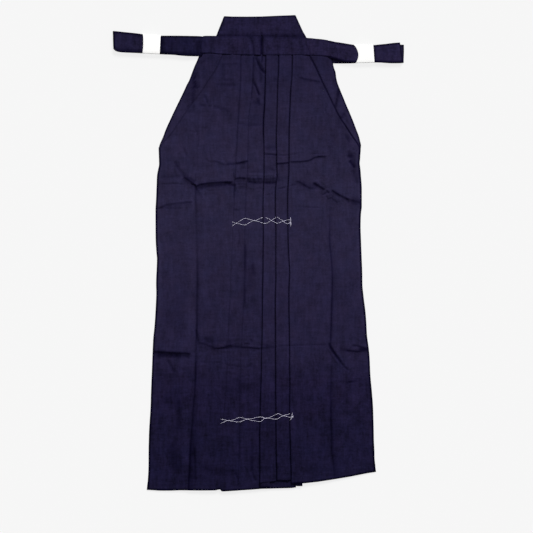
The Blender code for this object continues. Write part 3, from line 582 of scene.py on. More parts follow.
    ("groove", 0.5, 3.4, 0, 4, ((251.8, 441.0), (251.8, 455.0)), 0.32, 3.4),
    ("ridge", 0.3, 7.0, 0, 14, ((155.8, 374.0), (153.6, 453.0)), -0.13,
     7.0),
    ("groove", 0.5, 10.0, 0, 8, ((160.0, 399.0), (170.0, 402.0),
                                 (180.0, 407.0)), 0.26, 11.0),
    ("groove", 0.8, 4.0, 0, 8, ((178.6, 398), (178.2, 432)), 0.34, 4.6),
    ("groove", 0.7, 12.0, 0, 12, ((171.0, 440), (174.0, 456),
                                  (178, 474)), 0.40, 14.0),
    ("ridge", 0.5, 6.0, 0, 16, ((186.2, 402.0), (185.6, 440.0),
                                (184.6, 476.0)), -0.18, 5.6),
    ("groove", 0.8, 2.6, 0, 6, ((193.6, 446), (194.9, 460),
                                (195.4, 482)), 0.50, 3.2),
    ("groove", 0.5, 8.0, 0, 8, ((200, 467), (212, 471), (226, 473),
                                (238, 472)), 0.34, 9.0),
    ("groove", 1.1, 3.0, 0, 3, ((251.8, 455.2), (251.6, 464.0),
                                (252.2, 471.4)), 0.66, 3.4),
    ("groove", 0.8, 1.8, 0, 2.5, ((252.2, 470.6), (253.6, 476.0),
                                  (256.0, 481.0)), 0.56, 1.8),
    ("groove", 0.8, 2.2, 0, 3, ((231.0, 469.6), (235.8, 473.4),
                                (238.0, 479.0), (238.0, 486.0)), 0.60, 2.0),
    ("groove", 0.5, 2.4, 0, 4, ((232.4, 453.6), (246.0, 453.8),
                                (260.0, 454.2)), 0.34, 2.6),
    ("groove", 0.6, 2.6, 0, 4, ((238.8, 436.0), (239.2, 453.0)), 0.40, 2.6),
    ("groove", 0.4, 2.2, 0, 4, ((255.0, 467.4), (275.0, 468.0)), 0.30, 2.2),
    ("groove", 0.5, 5.0, 0, 6, ((362.6, 450.0), (364.8, 459.0)), 0.30, 4.6),
    ("groove", 0.4, 7.0, 0, 12, ((346, 424), (347.4, 446), (349, 462)),
     0.14, 6.0),
    ("ridge", 0.3, 8.0, 0, 10, ((348, 398), (364, 404)), -0.12, 9.0),
    ("groove", 0.35, 7.0, 0, 14, ((305, 376), (313, 380), (322, 377)),
     0.12, 7.0),
)
# The same packing folds seen from behind, and a few of the back's own.
BACK_CREASES = (
    ("ridge", 0.55, 2.6, 0, 14, ((156, 186), (182, 184.5), (214, 186.5),
                                 (262, 183.5))),
    ("ridge", 0.55, 2.8, 0, 14, ((262, 184), (292, 187), (330, 190.5),
                                 (362, 202))),
    ("ridge", 0.6, 2.6, 0, 14, ((153, 351), (190, 352.5), (226, 348),
                                (262, 346.5))),
    ("ridge", 0.5, 2.8, 0, 14, ((262, 346.5), (300, 345), (336, 349),
                                (369, 349.5))),
    ("ridge", 0.35, 2.4, 0, 12, ((196, 214), (195, 260), (196, 330))),
    ("ridge", 0.35, 2.4, 0, 12, ((330, 226), (331.5, 270), (330.5, 330))),
    ("ridge", 0.3, 2.6, 0, 10, ((203, 96), (213, 122), (219, 160))),
    ("ridge", 0.3, 2.4, 0, 10, ((338, 392), (346, 412), (349, 436))),
    ("ridge", 0.3, 3.4, 0, 10, ((172, 378), (186, 386), (204, 384))),
)


# Creases of the back where it shows beyond the front's slanting edges.
FLAP_CREASES = (
    ("groove", 1.4, 3.4, 0, 2.5, ((195.0, 71.6), (194.2, 80.0),
                                  (194.6, 88.6)), 0.90, 3.3),
    ("groove", 0.9, 2.6, 0, 3, ((193.6, 86.0), (193.0, 96.0),
                                (192.8, 107.0)), 0.72, 3.6),
    ("groove", 0.5, 3.4, 0, 3, ((192.6, 76.0), (191.6, 90.0)), 0.30, 4.4),
    ("groove", 0.8, 2.4, 0, 2.5, ((195.2, 81.0), (197.0, 86.0),
                                  (198.6, 90.0)), 0.66, 3.2),
    ("groove", 0.6, 1.8, 0, 3, ((188.8, 89.6), (188.0, 98.0),
                                (187.8, 104.0)), 0.45),
    ("groove", 0.8, 2.0, 0, 2.5, ((188.6, 104.6), (186.4, 111.0)), 0.50,
     2.4),
    ("ridge", 0.7, 3.4, 0, 5, ((199.6, 68.0), (200.9, 86.0)), -0.08, 3.0),
    ("groove", 0.7, 3.2, 0, 2.5, ((200.4, 61.8), (205.0, 62.2)), 0.55, 2.8),
    ("groove", 0.4, 3.0, 0, 4, ((203.8, 66.0), (203.6, 79.0)), 0.22, 3.0),
    ("ridge", 0.5, 4.0, 0, 6, ((182.4, 100.0), (174.6, 118.0)), -0.12, 5.0),
    ("groove", 1.1, 2.4, 0, 2.5, ((339.0, 88.0), (338.0, 93.0),
                                  (337.4, 98.6)), 0.80, 3.6),
    ("groove", 0.9, 1.8, 0, 2.5, ((337.2, 98.2), (336.2, 103.0),
                                  (335.3, 107.8)), 0.92, 2.8),
    ("ridge", 0.6, 2.8, 0, 4, ((340.8, 96.0), (339.8, 107.0))),
    ("groove", 1.0, 2.4, 0, 2, ((340.2, 117.4), (342.4, 116.0),
                                (344.6, 117.4)), 0.86, 3.2),
    ("groove", 0.6, 5.0, 0, 3, ((341.0, 112.8), (345.6, 116.0)), 0.46, 5.6),
    ("groove", 1.0, 1.9, 0, 2, ((343.2, 115.6), (345.2, 112.8),
                                (347.0, 110.8)), 0.66),
    ("groove", 0.5, 1.8, 0, 2, ((345.6, 119.6), (349.4, 124.6)), 0.40),
    ("ridge", 0.6, 2.0, 0, 2, ((346.4, 115.4), (348.0, 118.6)), -0.12, 2.4),
    ("groove", 0.5, 2.4, 0, 3, ((332.6, 83.0), (335.6, 87.0)), 0.40),
    ("groove", 0.4, 3.0, 0, 5, ((322.0, 64.0), (327.0, 76.0)), 0.14),
    ("ridge", 0.5, 3.4, 0, 5, ((331.6, 68.0), (333.4, 80.0)), -0.12, 3.4),
)


def stroke_field(x, y, row):
    """What one crease adds at points x, y: height, and depth of painted shade."""
    c = dict(zip(CREASE_COLUMNS, row))
    px, py = np.array(c["stroke"], float).T
    sx, sy = mx(px), my(py)
    grow = max(4 * c["side"], 3 * c["reach"], 12) + 3 * c["fade"]
    near = ((x > sx.min() - grow) & (x < sx.max() + grow)
            & (y > sy.min() - grow) & (y < sy.max() + grow))
    out, tone = np.zeros_like(x), np.zeros_like(x)
    if not near.any():
        return out, tone
    qx, qy = x[near], y[near]
    best = np.full(qx.shape, 1e9)
    side = np.zeros(qx.shape)
    at = np.zeros(qx.shape)
    over = np.zeros(qx.shape)
    lens = np.hypot(np.diff(sx), np.diff(sy))
    total, run = lens.sum(), 0.0
    last = len(lens) - 1
    for k, size in enumerate(lens):
        dx, dy = (sx[k + 1] - sx[k]) / size, (sy[k + 1] - sy[k]) / size
        rx, ry = qx - sx[k], qy - sy[k]
        t = rx * dx + ry * dy
        tc = np.clip(t, 0, size)
        d = np.hypot(rx - tc * dx, ry - tc * dy)
        cross = ry * dx - rx * dy          # positive above the stroke
        past = np.zeros_like(t)
        if k == 0:
            past = np.where(t < 0, -t, past)
        if k == last:
            past = np.where(t > size, t - size, past)
        new = d < best
        best = np.where(new, d, best)
        side = np.where(new, cross, side)
        at = np.where(new, run + tc, at)
        over = np.where(new, past, over)
        run += size
    fade = c["fade"]
    ends = (ease((at + over * 0 + 0.25 * fade) / (1.6 * fade))
            * ease((total - at + 0.25 * fade) / (1.6 * fade)))
    ends *= np.exp(-(over / (0.7 * fade + 1)) ** 2)
    # uneven along its length
    uneven = 1 + 0.22 * noise(at + px[0] * 7, at * 0 + py[0] * 3, 17, 5)
    if c["kind"] == "terrace":
        s = -side
        lateral = np.where(np.abs(side) > 1e-6, s, 0)
        below = 0.5 * np.exp(-np.maximum(lateral, 0) / 2.0) + 0.5 * np.exp(
            -np.maximum(lateral, 0) / c["side"])
        above = np.exp(np.minimum(lateral, 0) / c["reach"])
        shape = np.where(lateral > 0, below, above)
        strength = c.get("tone", min(0.8, 0.34 * c["height"]))
        wide = c.get("wide", 0.32 * c["side"] + 1.2)
        dark = strength * (
            0.62 * np.exp(-((lateral - 0.7) / 1.8) ** 2)
            + 0.38 * np.exp(-((lateral - 0.6 * wide) / wide) ** 2))
    else:
        shape = np.exp(-(best / c["side"]) ** 2 * 0.8) * 0.6 + 0.4 * np.exp(
            -best / (0.8 * c["side"]))
        if c["kind"] == "groove":
            shape = -shape + 0.28 * np.exp(-((best - 2.2 * c["side"])
                                             / (1.3 * c["side"])) ** 2)
        usual = min(0.8, 0.55 * c["height"]) * (c["kind"] == "groove")
        wide = c.get("wide", max(0.62 * c["side"], 1.5))
        dark = c.get("tone", usual) * np.exp(-(best / wide) ** 2)
    out[near] = CREASE_GAIN * c["height"] * shape * ends * uneven
    patchy = 1 + 0.22 * noise(at + py[0] * 5, at * 0 + px[0] * 3, 9, 6)
    tone[near] = dark * ends * uneven * patchy
    return out, tone


def creases(x, y, table):
    total = np.zeros_like(x)
    for row in table:
        total += stroke_field(x, y, row)[0]
    return total


def crease_tone(x, y, table):
    """How much painted shade the cloth gets in its creases, up to 1.

    Below 0 it is a painted highlight instead, on ridges that face the light.
    """
    kept = np.ones_like(x)
    for row in table:
        kept *= 1 - np.clip(stroke_field(x, y, row)[1], -0.3, 0.95)
    return 1 - kept


def swell(x, y):
    """The soft unevenness of ironed cloth that has lain folded."""
    h = 0.60 * noise(x * 1.6, y, 120, 1) + 0.42 * noise(x * 1.8, y * 0.9, 52, 2)
    h += 0.30 * noise(x * 1.5, y * 0.9, 26, 3)
    h += 0.13 * noise(x * 1.1, y * 0.9, 13, 4)
    return h


# Strength of the painted shade along each press line and soft pleat, by level; below 0 a painted
# highlight.
R_PRESS_TONE = ((184, 0.0), (190, 0.3), (200, 0.34), (210, 0.2),
                (240, 0.1), (258, 0.2), (272, 0.42), (285, 0.46),
                (300, 0.42), (325, 0.6), (338, 0.6), (343, 0.3),
                (352, 0.12), (357, 0.5), (365, 0.7), (385, 0.62),
                (398, 0.60), (412, 0.50), (425, 0.36), (440, 0.5),
                (450, 0.80), (475, 0.70), (488, 0.6))
L_PRESS_TONE = ((184, 0.0), (212, 0.2), (224, 0.4), (238, 0.60),
                (256, 0.62), (272, 0.66), (300, 0.74), (320, 0.76),
                (338, 0.74), (343, 0.6), (350, 0.2), (362, 0.06),
                (370, 0.44), (376, 0.26), (384, 0.56), (395, 0.46),
                (404, 0.66), (412, 0.72), (422, 0.80), (440, 0.62),
                (455, 0.66), (466, 0.4), (474, 0.3), (490, 0.1))
R_INNER_TONE = ((56, 0.1), (72, 0.15), (79, 0.5), (86, 0.4), (94, 0.45),
                (104, 0.2), (122, 0.3), (150, 0.35), (168, 0.45),
                (182, 0.3), (200, 0.34), (240, 0.3), (247, 0.8),
                (265, 0.82), (273, 0.5), (284, 0.45), (291, 0.76),
                (300, 0.74), (308, 0.3), (330, 0.2), (376, 0.15),
                (382, 0.45), (400, 0.4), (430, 0.35), (440, 0.3),
                (452, 0.42), (466, 0.3), (490, 0.3))
R_OUTER_TONE = ((56, 0.35), (90, 0.42), (120, 0.36), (140, 0.30),
                (170, 0.2), (184, 0.5), (194, 0.56), (202, 0.1),
                (226, -0.1), (240, -0.12), (298, -0.12), (306, 0.3),
                (314, 0.24), (322, 0.0), (358, -0.05), (372, 0.08),
                (400, 0.0), (490, 0.0))
CENTRE_TONE = ((56, 0.1), (68, 0.2), (74, 0.5), (90, 0.6), (97, 0.9),
               (110, 1.0), (132, 0.95), (140, 0.45), (150, 0.28),
               (168, 0.12), (182, 0.3), (196, 0.2), (215, 0.2),
               (235, 0.42), (265, 0.5), (320, 0.5), (332, 0.3),
               (352, 0.24), (374, 0.3), (380, 0.5), (400, 0.6),
               (420, 0.5), (434, 0.7), (445, 0.5), (490, 0.6))
# How dark the painted shade in the gaps of the left leg's two pleats is, by level.
L_INNER_GAP = ((56, 0.72), (70, 0.70), (80, 0.66), (95, 0.62), (108, 0.66),
               (122, 0.62), (140, 0.74), (156, 0.78), (174, 0.66),
               (190, 0.84), (212, 0.76), (232, 0.62), (268, 0.64),
               (280, 0.78), (296, 0.80), (312, 0.90), (345, 0.80),
               (360, 0.80), (380, 0.9), (440, 0.92), (475, 0.96),
               (490, 0.8))
L_OUTER_GAP = ((56, 0.58), (68, 0.62), (84, 0.7), (94, 0.94), (102, 0.7),
               (112, 0.94), (124, 0.92), (135, 0.74), (150, 0.72),
               (166, 0.72), (176, 0.92), (192, 0.78), (206, 0.68),
               (236, 0.62), (248, 0.74), (262, 0.66), (292, 0.8),
               (305, 0.8), (335, 0.66), (352, 0.68), (372, 0.66),
               (384, 0.8), (404, 0.84), (430, 0.94), (456, 0.98),
               (466, 0.88), (490, 0.9))


def gap_dark(table, ys):
    return np.interp(PX_Y - ys / PX, *np.array(table, float).T)


def line_tone(x, y, table, strengths, width, shift=0.0):
    level = PX_Y - y / PX
    at = mx(curve(table, level)) + shift
    k = np.interp(level, *np.array(strengths, float).T)
    return k * np.exp(-((x - at) / width) ** 2)


def front_tone(x, y):
    # painted shade in the creases and along the press lines and pleat folds, with painted
    # highlights where the cloth faces the light
    kept = 1 - crease_tone(x, y, CREASES)
    level = PX_Y - y / PX
    inner = 1.9 + 1.2 * ease((level - 243) / 5) * ease((313 - level) / 5)
    for table, strengths, width, shift in (
            (R_PRESS, R_PRESS_TONE, 2.3, 0.2),
            (L_PRESS, L_PRESS_TONE, 2.3, 0.2),
            (R_INNER, R_INNER_TONE, inner, 0.2),
            (R_OUTER, R_OUTER_TONE, 1.9, 0.2),
            (CENTRE, CENTRE_TONE, 2.1, -0.6)):
        kept *= 1 - line_tone(x, y, table, strengths, width, shift)
    # the soft shade beside the press lines, wider low down
    for table, strengths, k, wide in ((R_PRESS, R_PRESS_TONE, 0.46, 6.6),
                                      (L_PRESS, L_PRESS_TONE, 0.38, 5.4)):
        d = x - mx(curve(table, level))
        k = k * np.interp(level, *np.array(strengths, float).T)
        kept *= 1 - k * np.where(
            d > 0, np.exp(-(np.maximum(d, 0) / wide) ** 1.5),
            np.exp(-(d / 1.4) ** 2))
    # lighter at the foot of the left leg, taking back some of the painted shade towards the hem
    kept *= 1 + 0.11 * ease((x - 165.0) / 25.0) * ease(
        (level - 380) / 30) * ease((474 - level) / 20)
    # painted shade beside the press lines low down, wide to their right
    for table, out, k in ((R_PRESS, 1, 0.42), (L_PRESS, 1, 0.22)):
        d = out * (x - mx(curve(table, level)))
        k = k * ease((level - 385) / 60)
        kept *= 1 - k * np.where(d > 0, np.exp(-(d / 15.0) ** 2),
                                 np.exp(-(d / 1.6) ** 2))
    # the rolled side edges catch the light just inside their dark rim
    d = np.minimum(x - line_x(R_FRONT, y), line_x(L_FRONT, y) - x)
    level = PX_Y - y / PX
    side = ease((level - 140) / 12)
    side = side * (1 + 0.7 * ease((level - 198) / 8) * ease((292 - level)
                                                            / 40))
    kept *= 1 + 0.18 * side * np.exp(-((d - 6.2) / 2.4) ** 2)
    d = x - line_x(R_FRONT, y)
    kept *= 1 + 0.16 * np.exp(-((d - 8.0) / 7.0) ** 2) * ease(
        (level - 240) / 20) * ease((345 - level) / 20)
    return 1 - kept


def back_tone(x, y):
    # painted shade in the creases of the back where it shows
    return crease_tone(x, y, FLAP_CREASES)


def front_height(x, y):
    """What creases and swelling add to every layer of the front."""
    left = line_x(R_FRONT, y)
    right = line_x(L_FRONT, y)
    edge = np.minimum(x - left, right - x)
    hem = np.maximum(along(HEMS["front_left_top"], x),
                     along(HEMS["front_right_top"], x) - 1000 * (x > 40))
    hem = np.where(x > 40, along(HEMS["front_left_top"], x),
                   along(HEMS["front_right_top"], x))
    low = ease((y - hem) / 40.0)
    top = ease((WAIST + 3 - y) / 22.0)
    soft = ease(edge / 26.0)
    tight = ease(edge / 7.0)
    body = (1.15 + swell(x, y)) * soft * top * (0.35 + 0.65 * low)
    body += 0.5 * ease((edge - 10) / 60) * ease((60 - np.abs(y + 30)) / 200)
    body += 0.45 * ease((y - 434.0) / 14.0)
    made = creases(x, y, CREASES) * tight * (0.25 + 0.75 * top)
    total = body + made
    floor = -0.15
    return np.where(total < floor + 0.6,
                    floor + 0.6 * np.exp((total - floor - 0.6) / 0.6), total)


def back_height(x, y):
    left, right = line_x(R_BACK, y), line_x(L_BACK, y)
    edge = np.minimum(x - left, right - x)
    h = np.maximum(creases(x, y, BACK_CREASES), 0) * ease(edge / 9.0)
    return h + creases(x, y, FLAP_CREASES) * ease(edge / 4.0)


# -------------------------------------------------------------- mesh making
def write_mesh(name, verts, faces, smooth=True, tone=None):
    """verts in millimetres (n, 3); faces as arrays of quads or triangles.

    tone goes into the mesh as the attribute "deep": painted shade, how far
    each point's cloth is made darker than the rest, from 0 to 1 (below 0 a
    painted highlight).
    """
    quads = [f for f in faces if f.shape[1] == 4]
    tris = [f for f in faces if f.shape[1] == 3]
    q = np.concatenate(quads) if quads else np.zeros((0, 4), int)
    t = np.concatenate(tris) if tris else np.zeros((0, 3), int)
    v = np.asarray(verts, float) * MM
    # faces point out where the signed volume is positive
    vol = 0.0
    for f in (q[:, [0, 1, 2]], q[:, [0, 2, 3]], t):
        if len(f):
            a, b, c = v[f[:, 0]], v[f[:, 1]], v[f[:, 2]]
            vol += np.einsum("ij,ij->i", a, np.cross(b, c)).sum()
    if vol < 0:
        q, t = q[:, ::-1], t[:, ::-1]
    mesh = bpy.data.meshes.new(name)
    mesh.vertices.add(len(v))
    mesh.vertices.foreach_set("co", v.astype(np.float32).ravel())
    loops = np.concatenate([q.ravel(), t.ravel()]).astype(np.int32)
    mesh.loops.add(len(loops))
    mesh.loops.foreach_set("vertex_index", loops)
    starts = np.concatenate([np.arange(len(q)) * 4,
                             len(q) * 4 + np.arange(len(t)) * 3])
    mesh.polygons.add(len(q) + len(t))
    mesh.polygons.foreach_set("loop_start", starts.astype(np.int32))
    mesh.update(calc_edges=True)
    if tone is not None:
        deep = mesh.attributes.new("deep", "FLOAT", "POINT")
        deep.data.foreach_set("value", np.asarray(tone, np.float32))
    mesh.validate()
    if smooth:
        mesh.shade_smooth()
    ob = bpy.data.objects.new(name, mesh)
    bpy.context.scene.collection.objects.link(ob)
    return ob


def grid_faces(index):
    a, b = index[:-1, :-1].ravel(), index[:-1, 1:].ravel()
    c, d = index[1:, 1:].ravel(), index[1:, :-1].ravel()
    return np.stack([a, b, c, d], axis=1)


def grid_normals(p):
    du = np.empty_like(p)
    du[:, 1:-1] = p[:, 2:] - p[:, :-2]
    du[:, 0], du[:, -1] = p[:, 1] - p[:, 0], p[:, -1] - p[:, -2]
    dv = np.empty_like(p)
    dv[1:-1] = p[2:] - p[:-2]
    dv[0], dv[-1] = p[1] - p[0], p[-1] - p[-2]
    n = np.cross(du, dv)
    return n / np.maximum(np.linalg.norm(n, axis=2, keepdims=True), 1e-9)


def thinned(count):
    """Every other index, with the first and the last."""
    keep = np.arange(0, count, 2)
    return keep if keep[-1] == count - 1 else np.append(keep, count - 1)


def shell_parts(p, half, fine=1, tone=None):
    """Points and faces of a thin sheet with rounded edges round grid p.

    p is (rows, columns, 3) in millimetres; half is half the thickness, one
    number or one for each point. The side towards fine times the grid's
    normal keeps every point, and the other, hidden side every other one.
    """
    rows, cols = p.shape[:2]
    half = np.broadcast_to(np.asarray(half, float), (rows, cols))
    tone = np.zeros((rows, cols)) if tone is None else np.array(tone)
    n = grid_normals(p)
    top, low = p + fine * n * half[..., None], p - fine * n * half[..., None]
    count = rows * cols
    it = np.arange(count).reshape(rows, cols)
    kr, kc = thinned(rows), thinned(cols)
    small = low[np.ix_(kr, kc)]
    ib = np.full((rows, cols), -1)
    ib[np.ix_(kr, kc)] = count + np.arange(small.shape[0] * small.shape[1]
                                           ).reshape(small.shape[:2])
    border = ([(0, c) for c in range(cols - 1)]
              + [(r, cols - 1) for r in range(rows - 1)]
              + [(rows - 1, c) for c in range(cols - 1, 0, -1)]
              + [(r, 0) for r in range(rows - 1, 0, -1)])
    br = np.array([r for r, _ in border])
    bc = np.array([c for _, c in border])
    out = p[br, bc] - p[np.clip(br, 1, rows - 2), np.clip(bc, 1, cols - 2)]
    out /= np.maximum(np.linalg.norm(out, axis=1, keepdims=True), 1e-9)
    h = half[br, bc][:, None]
    nb = n[br, bc] * fine
    m = len(border)
    base = count + small.shape[0] * small.shape[1]
    rims = [p[br, bc] + out * h * k + nb * h * q
            for k, q in ((0.62, 0.72), (0.9, 0.0), (0.62, -0.72))]
    ids = [it[br, bc]] + [base + k * m + np.arange(m) for k in range(3)]
    nxt = np.roll(np.arange(m), -1)
    faces = [grid_faces(it), grid_faces(ib[np.ix_(kr, kc)])[:, ::-1]]
    for i, j in zip(ids, ids[1:]):
        faces.append(np.stack([i[nxt], i, j, j[nxt]], axis=1))
    tris = []
    last = ids[-1]
    cur = ib[border[0]]
    for k in range(m):
        k1 = (k + 1) % m
        tris.append((last[k1], last[k], cur))
        new = ib[border[k1]]
        if new >= 0:
            tris.append((last[k1], cur, new))
            cur = new
    faces.append(np.array(tris))
    verts = np.concatenate([top.reshape(-1, 3), small.reshape(-1, 3)] + rims)
    # the rounded rim gets painted shade, at least half
    rim = np.maximum(tone[br, bc], 0.5)
    tones = np.concatenate([tone.ravel(), tone[np.ix_(kr, kc)].ravel(),
                            rim, rim, rim])
    return verts, faces, tones


def shell(name, p, half, fine=1, tone=None):
    verts, faces, tones = shell_parts(p, half, fine, tone)
    return write_mesh(name, verts, faces, tone=tones)


def merge(name, parts):
    """One mesh from (verts, faces) pairs, all of it above the table."""
    verts, faces, base = [], [], 0
    for v, fs in parts:
        v[:, 2] = np.maximum(v[:, 2], 0.0)
        verts.append(v)
        faces += [f + base for f in fs]
        base += len(v)
    return write_mesh(name, np.concatenate(verts), faces)


# ------------------------------------------------------------ panel meshing
def levels():
    """Y of the rows, close together at the packing folds, waist and hem."""
    zones = ((449.0, 330.0, 2.3), (330.0, 232.0, 3.6), (232.0, 98.0, 1.7),
             (98.0, -172.0, 4.2), (-172.0, -284.0, 1.8),
             (-284.0, -460.0, 4.0), (-460.0, -500.0, 2.6),
             (-500.0, -536.0, 1.6))
    out = [np.linspace(a, b, max(2, round((a - b) / step)), endpoint=False)
           for a, b, step in zones]
    return np.concatenate(out + [[HEM]])


class Path:
    """A folded section, built piece by piece for all rows at once."""

    def __init__(self, rows):
        self.rows = rows
        self.x, self.z, self.hem, self.deep = [], [], [], []

    # deep is how much painted shade a point gets, from 0 to 1
    def put(self, x, z, hem, deep=0.0):
        self.x.append(np.broadcast_to(x, (self.rows,)).astype(float))
        self.z.append(np.broadcast_to(z, (self.rows,)).astype(float))
        self.deep.append(np.broadcast_to(deep, (self.rows,)).astype(float))
        self.hem.append(hem)

    def run(self, x0, z0, x1, z1, n, hem, shape="line", deep=0.0):
        """n points from (x0, z0) up to but without (x1, z1)."""
        for k in range(n):
            t = k / n
            e = t * t * (3 - 2 * t) if shape == "ease" else t
            self.put(x0 + (x1 - x0) * t, z0 + (z1 - z0) * e, hem, deep)

    def turn(self, x, z0, z1, out, hem, n=6, deep=0.5):
        """A half round from (x, z0) to (x, z1), bulging to out = -1 or 1."""
        r = np.abs(z1 - z0) / 2
        mid, sign = (z0 + z1) / 2, np.sign(z1 - z0)
        for k in range(n):
            a = math.pi * k / n
            self.put(x + out * r * math.sin(a), mid - sign * r * math.cos(a),
                     hem, deep)

    def arrays(self):
        return (np.array(self.x).T, np.array(self.z).T, self.hem,
                np.array(self.deep).T)


def place(path, ys, seam, field, shade):
    """Grid of points of a path, with the waist, the hem and the creases.

    The second result is the painted shade: the path's own, that of the
    creases, and the dark edge along the hem, with a painted highlight a
    little above that edge.
    """
    x, z, hems, deep = path.arrays()
    hem = np.stack([along(HEMS[h], x[-1, k]) for k, h in enumerate(hems)])
    y = np.repeat(ys[:, None], x.shape[1], axis=1)
    up = ease((y - 405.0) / (WAIST - 405.0))
    y = y + up * (along(seam, x) - 0.3 - WAIST)
    down = ease((-430.0 - ys) / (-430.0 - HEM))[:, None]
    y = y + down * (hem[None, :] - HEM)
    z = z + field(x, y)
    d = y - y[-1][None, :]
    # the middle pleats' hems lie on cloth and get only a thin line of painted shade
    thin = np.array([h in ("front_left_1", "front_left_2") for h in hems])
    thin = thin[None, :] * (x < 78.0)
    rim = np.where(thin, 0.22 * np.exp(-(d / 1.1) ** 4),
                   0.97 * np.exp(-(d / 3.7) ** 4))
    # a painted highlight a little above the hem's dark edge
    lit = 1 + 0.16 * np.exp(-((d - 6.4) / 1.8) ** 2) * (1 - thin)
    deep = 1 - (1 - deep) * (1 - shade(x, y)) * (1 - rim) * lit
    return np.stack([x, y, z], axis=2), np.clip(deep, -0.3, 1)


def common(ys):
    down = (WAIST - ys) / (WAIST - HEM)
    under = UNDERLAY_WAIST + (UNDERLAY_HEM - UNDERLAY_WAIST) * down
    base = np.interp(ys, [-600, 20, 150, 500], [5.7, 5.7, 4.8, 4.8])
    side = np.interp(ys, [-600, 320, 337, 393, 447], [1.8, 1.8, 1.9, 3.0, 4.8])
    return under, base, side


def hem_half(grid, hem_depth=18.0, thick=0.26):
    """Half thickness: the turned-up hem is thicker, with a stitched line."""
    y = grid[..., 1]
    d = y - y[-1][None, :]
    half = np.full(y.shape, CLOTH / 2)
    half += thick * ease((hem_depth + 0.8 - d) / 1.6)
    half -= 0.16 * np.exp(-((d - hem_depth) / 1.3) ** 2)
    return half


def edge_half(half, grid, edge_x, width, thick=0.22):
    """Adds the turned edge of the side slit to the half thickness."""
    d = np.abs(edge_x - grid[..., 0])
    fade = ease((grid[..., 1] - 215.0) / 30.0)
    half = half + thick * ease((width + 0.8 - d) / 1.6) * fade
    return half - 0.15 * np.exp(-((d - width) / 1.2) ** 2) * fade


def pleat_top(path, x0, x1, low, top, hem, dark=1.0):
    """The flat top of a pleat from its fold at x0 to the gap before x1.

    dark is how dark the painted shade in the gap is, a number or one for each row.
    """
    for d, lip, deep in ((0, 0.55, 0.35), (1.2, 0.5, 0.0), (2.8, 0.34, 0.0),
                         (5.0, 0.16, 0.0), (8.0, 0.04, 0.0)):
        path.put(x0 + d, top + lip, hem, deep)
    path.run(x0 + 12, top, x1 - 6.4, top - 0.05, 7, hem)
    for d, f, deep in ((6.4, 0.0, 0.0), (5.4, 0.04, 0.0), (4.6, 0.18, 0.05),
                       (3.9, 0.45, 0.25), (3.2, 0.74, 0.6),
                       (2.4, 0.92, 0.9)):
        path.put(x1 - d, top - 0.05 - (top - 0.05 - low) * f, hem,
                 deep * dark)


def shoulder(path, x0, z0, x1, z1, press, strength, hem, steps=62):
    """The wide strip from the pleats out to the side, with its press line."""
    out = np.sign(x1 - x0)
    total = np.abs(x1 - x0)
    at = np.abs(press - x0)
    frac = np.clip(at / total, 0.12, 0.92)
    bend = 0.055
    # columns gather at the press line
    warp0 = bend * np.sin(2 * math.pi * frac)
    warp1 = 1 - bend * np.sin(2 * math.pi * (1 - frac))
    for k in range(steps):
        t = k / steps
        warp = t - bend * np.sin(2 * math.pi * (t - frac))
        s = (warp - warp0) / (warp1 - warp0)
        drop = ease((s * total - at + 3.0) / 6.0)
        m = 0.34 * strength
        f = (1 - m) * (s ** 0.9) + m * drop
        path.put(x0 + out * total * s, z0 + (z1 - z0) * f, hem)


def side_edge(path, x1, z1, wrap, out, hem, line):
    """The last points: a free edge, or rolled down onto the back's edge.

    line is how dark the painted shade along the edge is on the rows where it lies free.
    """
    for d, drop, part, rim in ((5.2, 0.0, 0.0, 0.0), (4.4, 0.0, 0.0, 0.16),
                               (3.5, 0.0, 0.0, 0.8), (2.7, 0.02, 0.22, 1.0),
                               (1.8, 0.05, 0.7, 1.0),
                               (0.8, 0.15, 0.95, 1.0)):
        k = line * part * (1 - wrap) + 0.97 * rim * wrap
        path.put(x1 - out * d, z1 - drop * wrap, hem, k)
    k = np.maximum(line, 0.97 * wrap)
    path.put(x1 - out * 0.2, z1 - 0.35 * wrap, hem, k)
    path.put(x1 + out * 0.02, z1 - 0.75 * wrap, hem, k)
    path.put(x1 - out * 0.05 * wrap + out * 0.4 * (1 - wrap),
             z1 - 1.3 * wrap, hem, k)


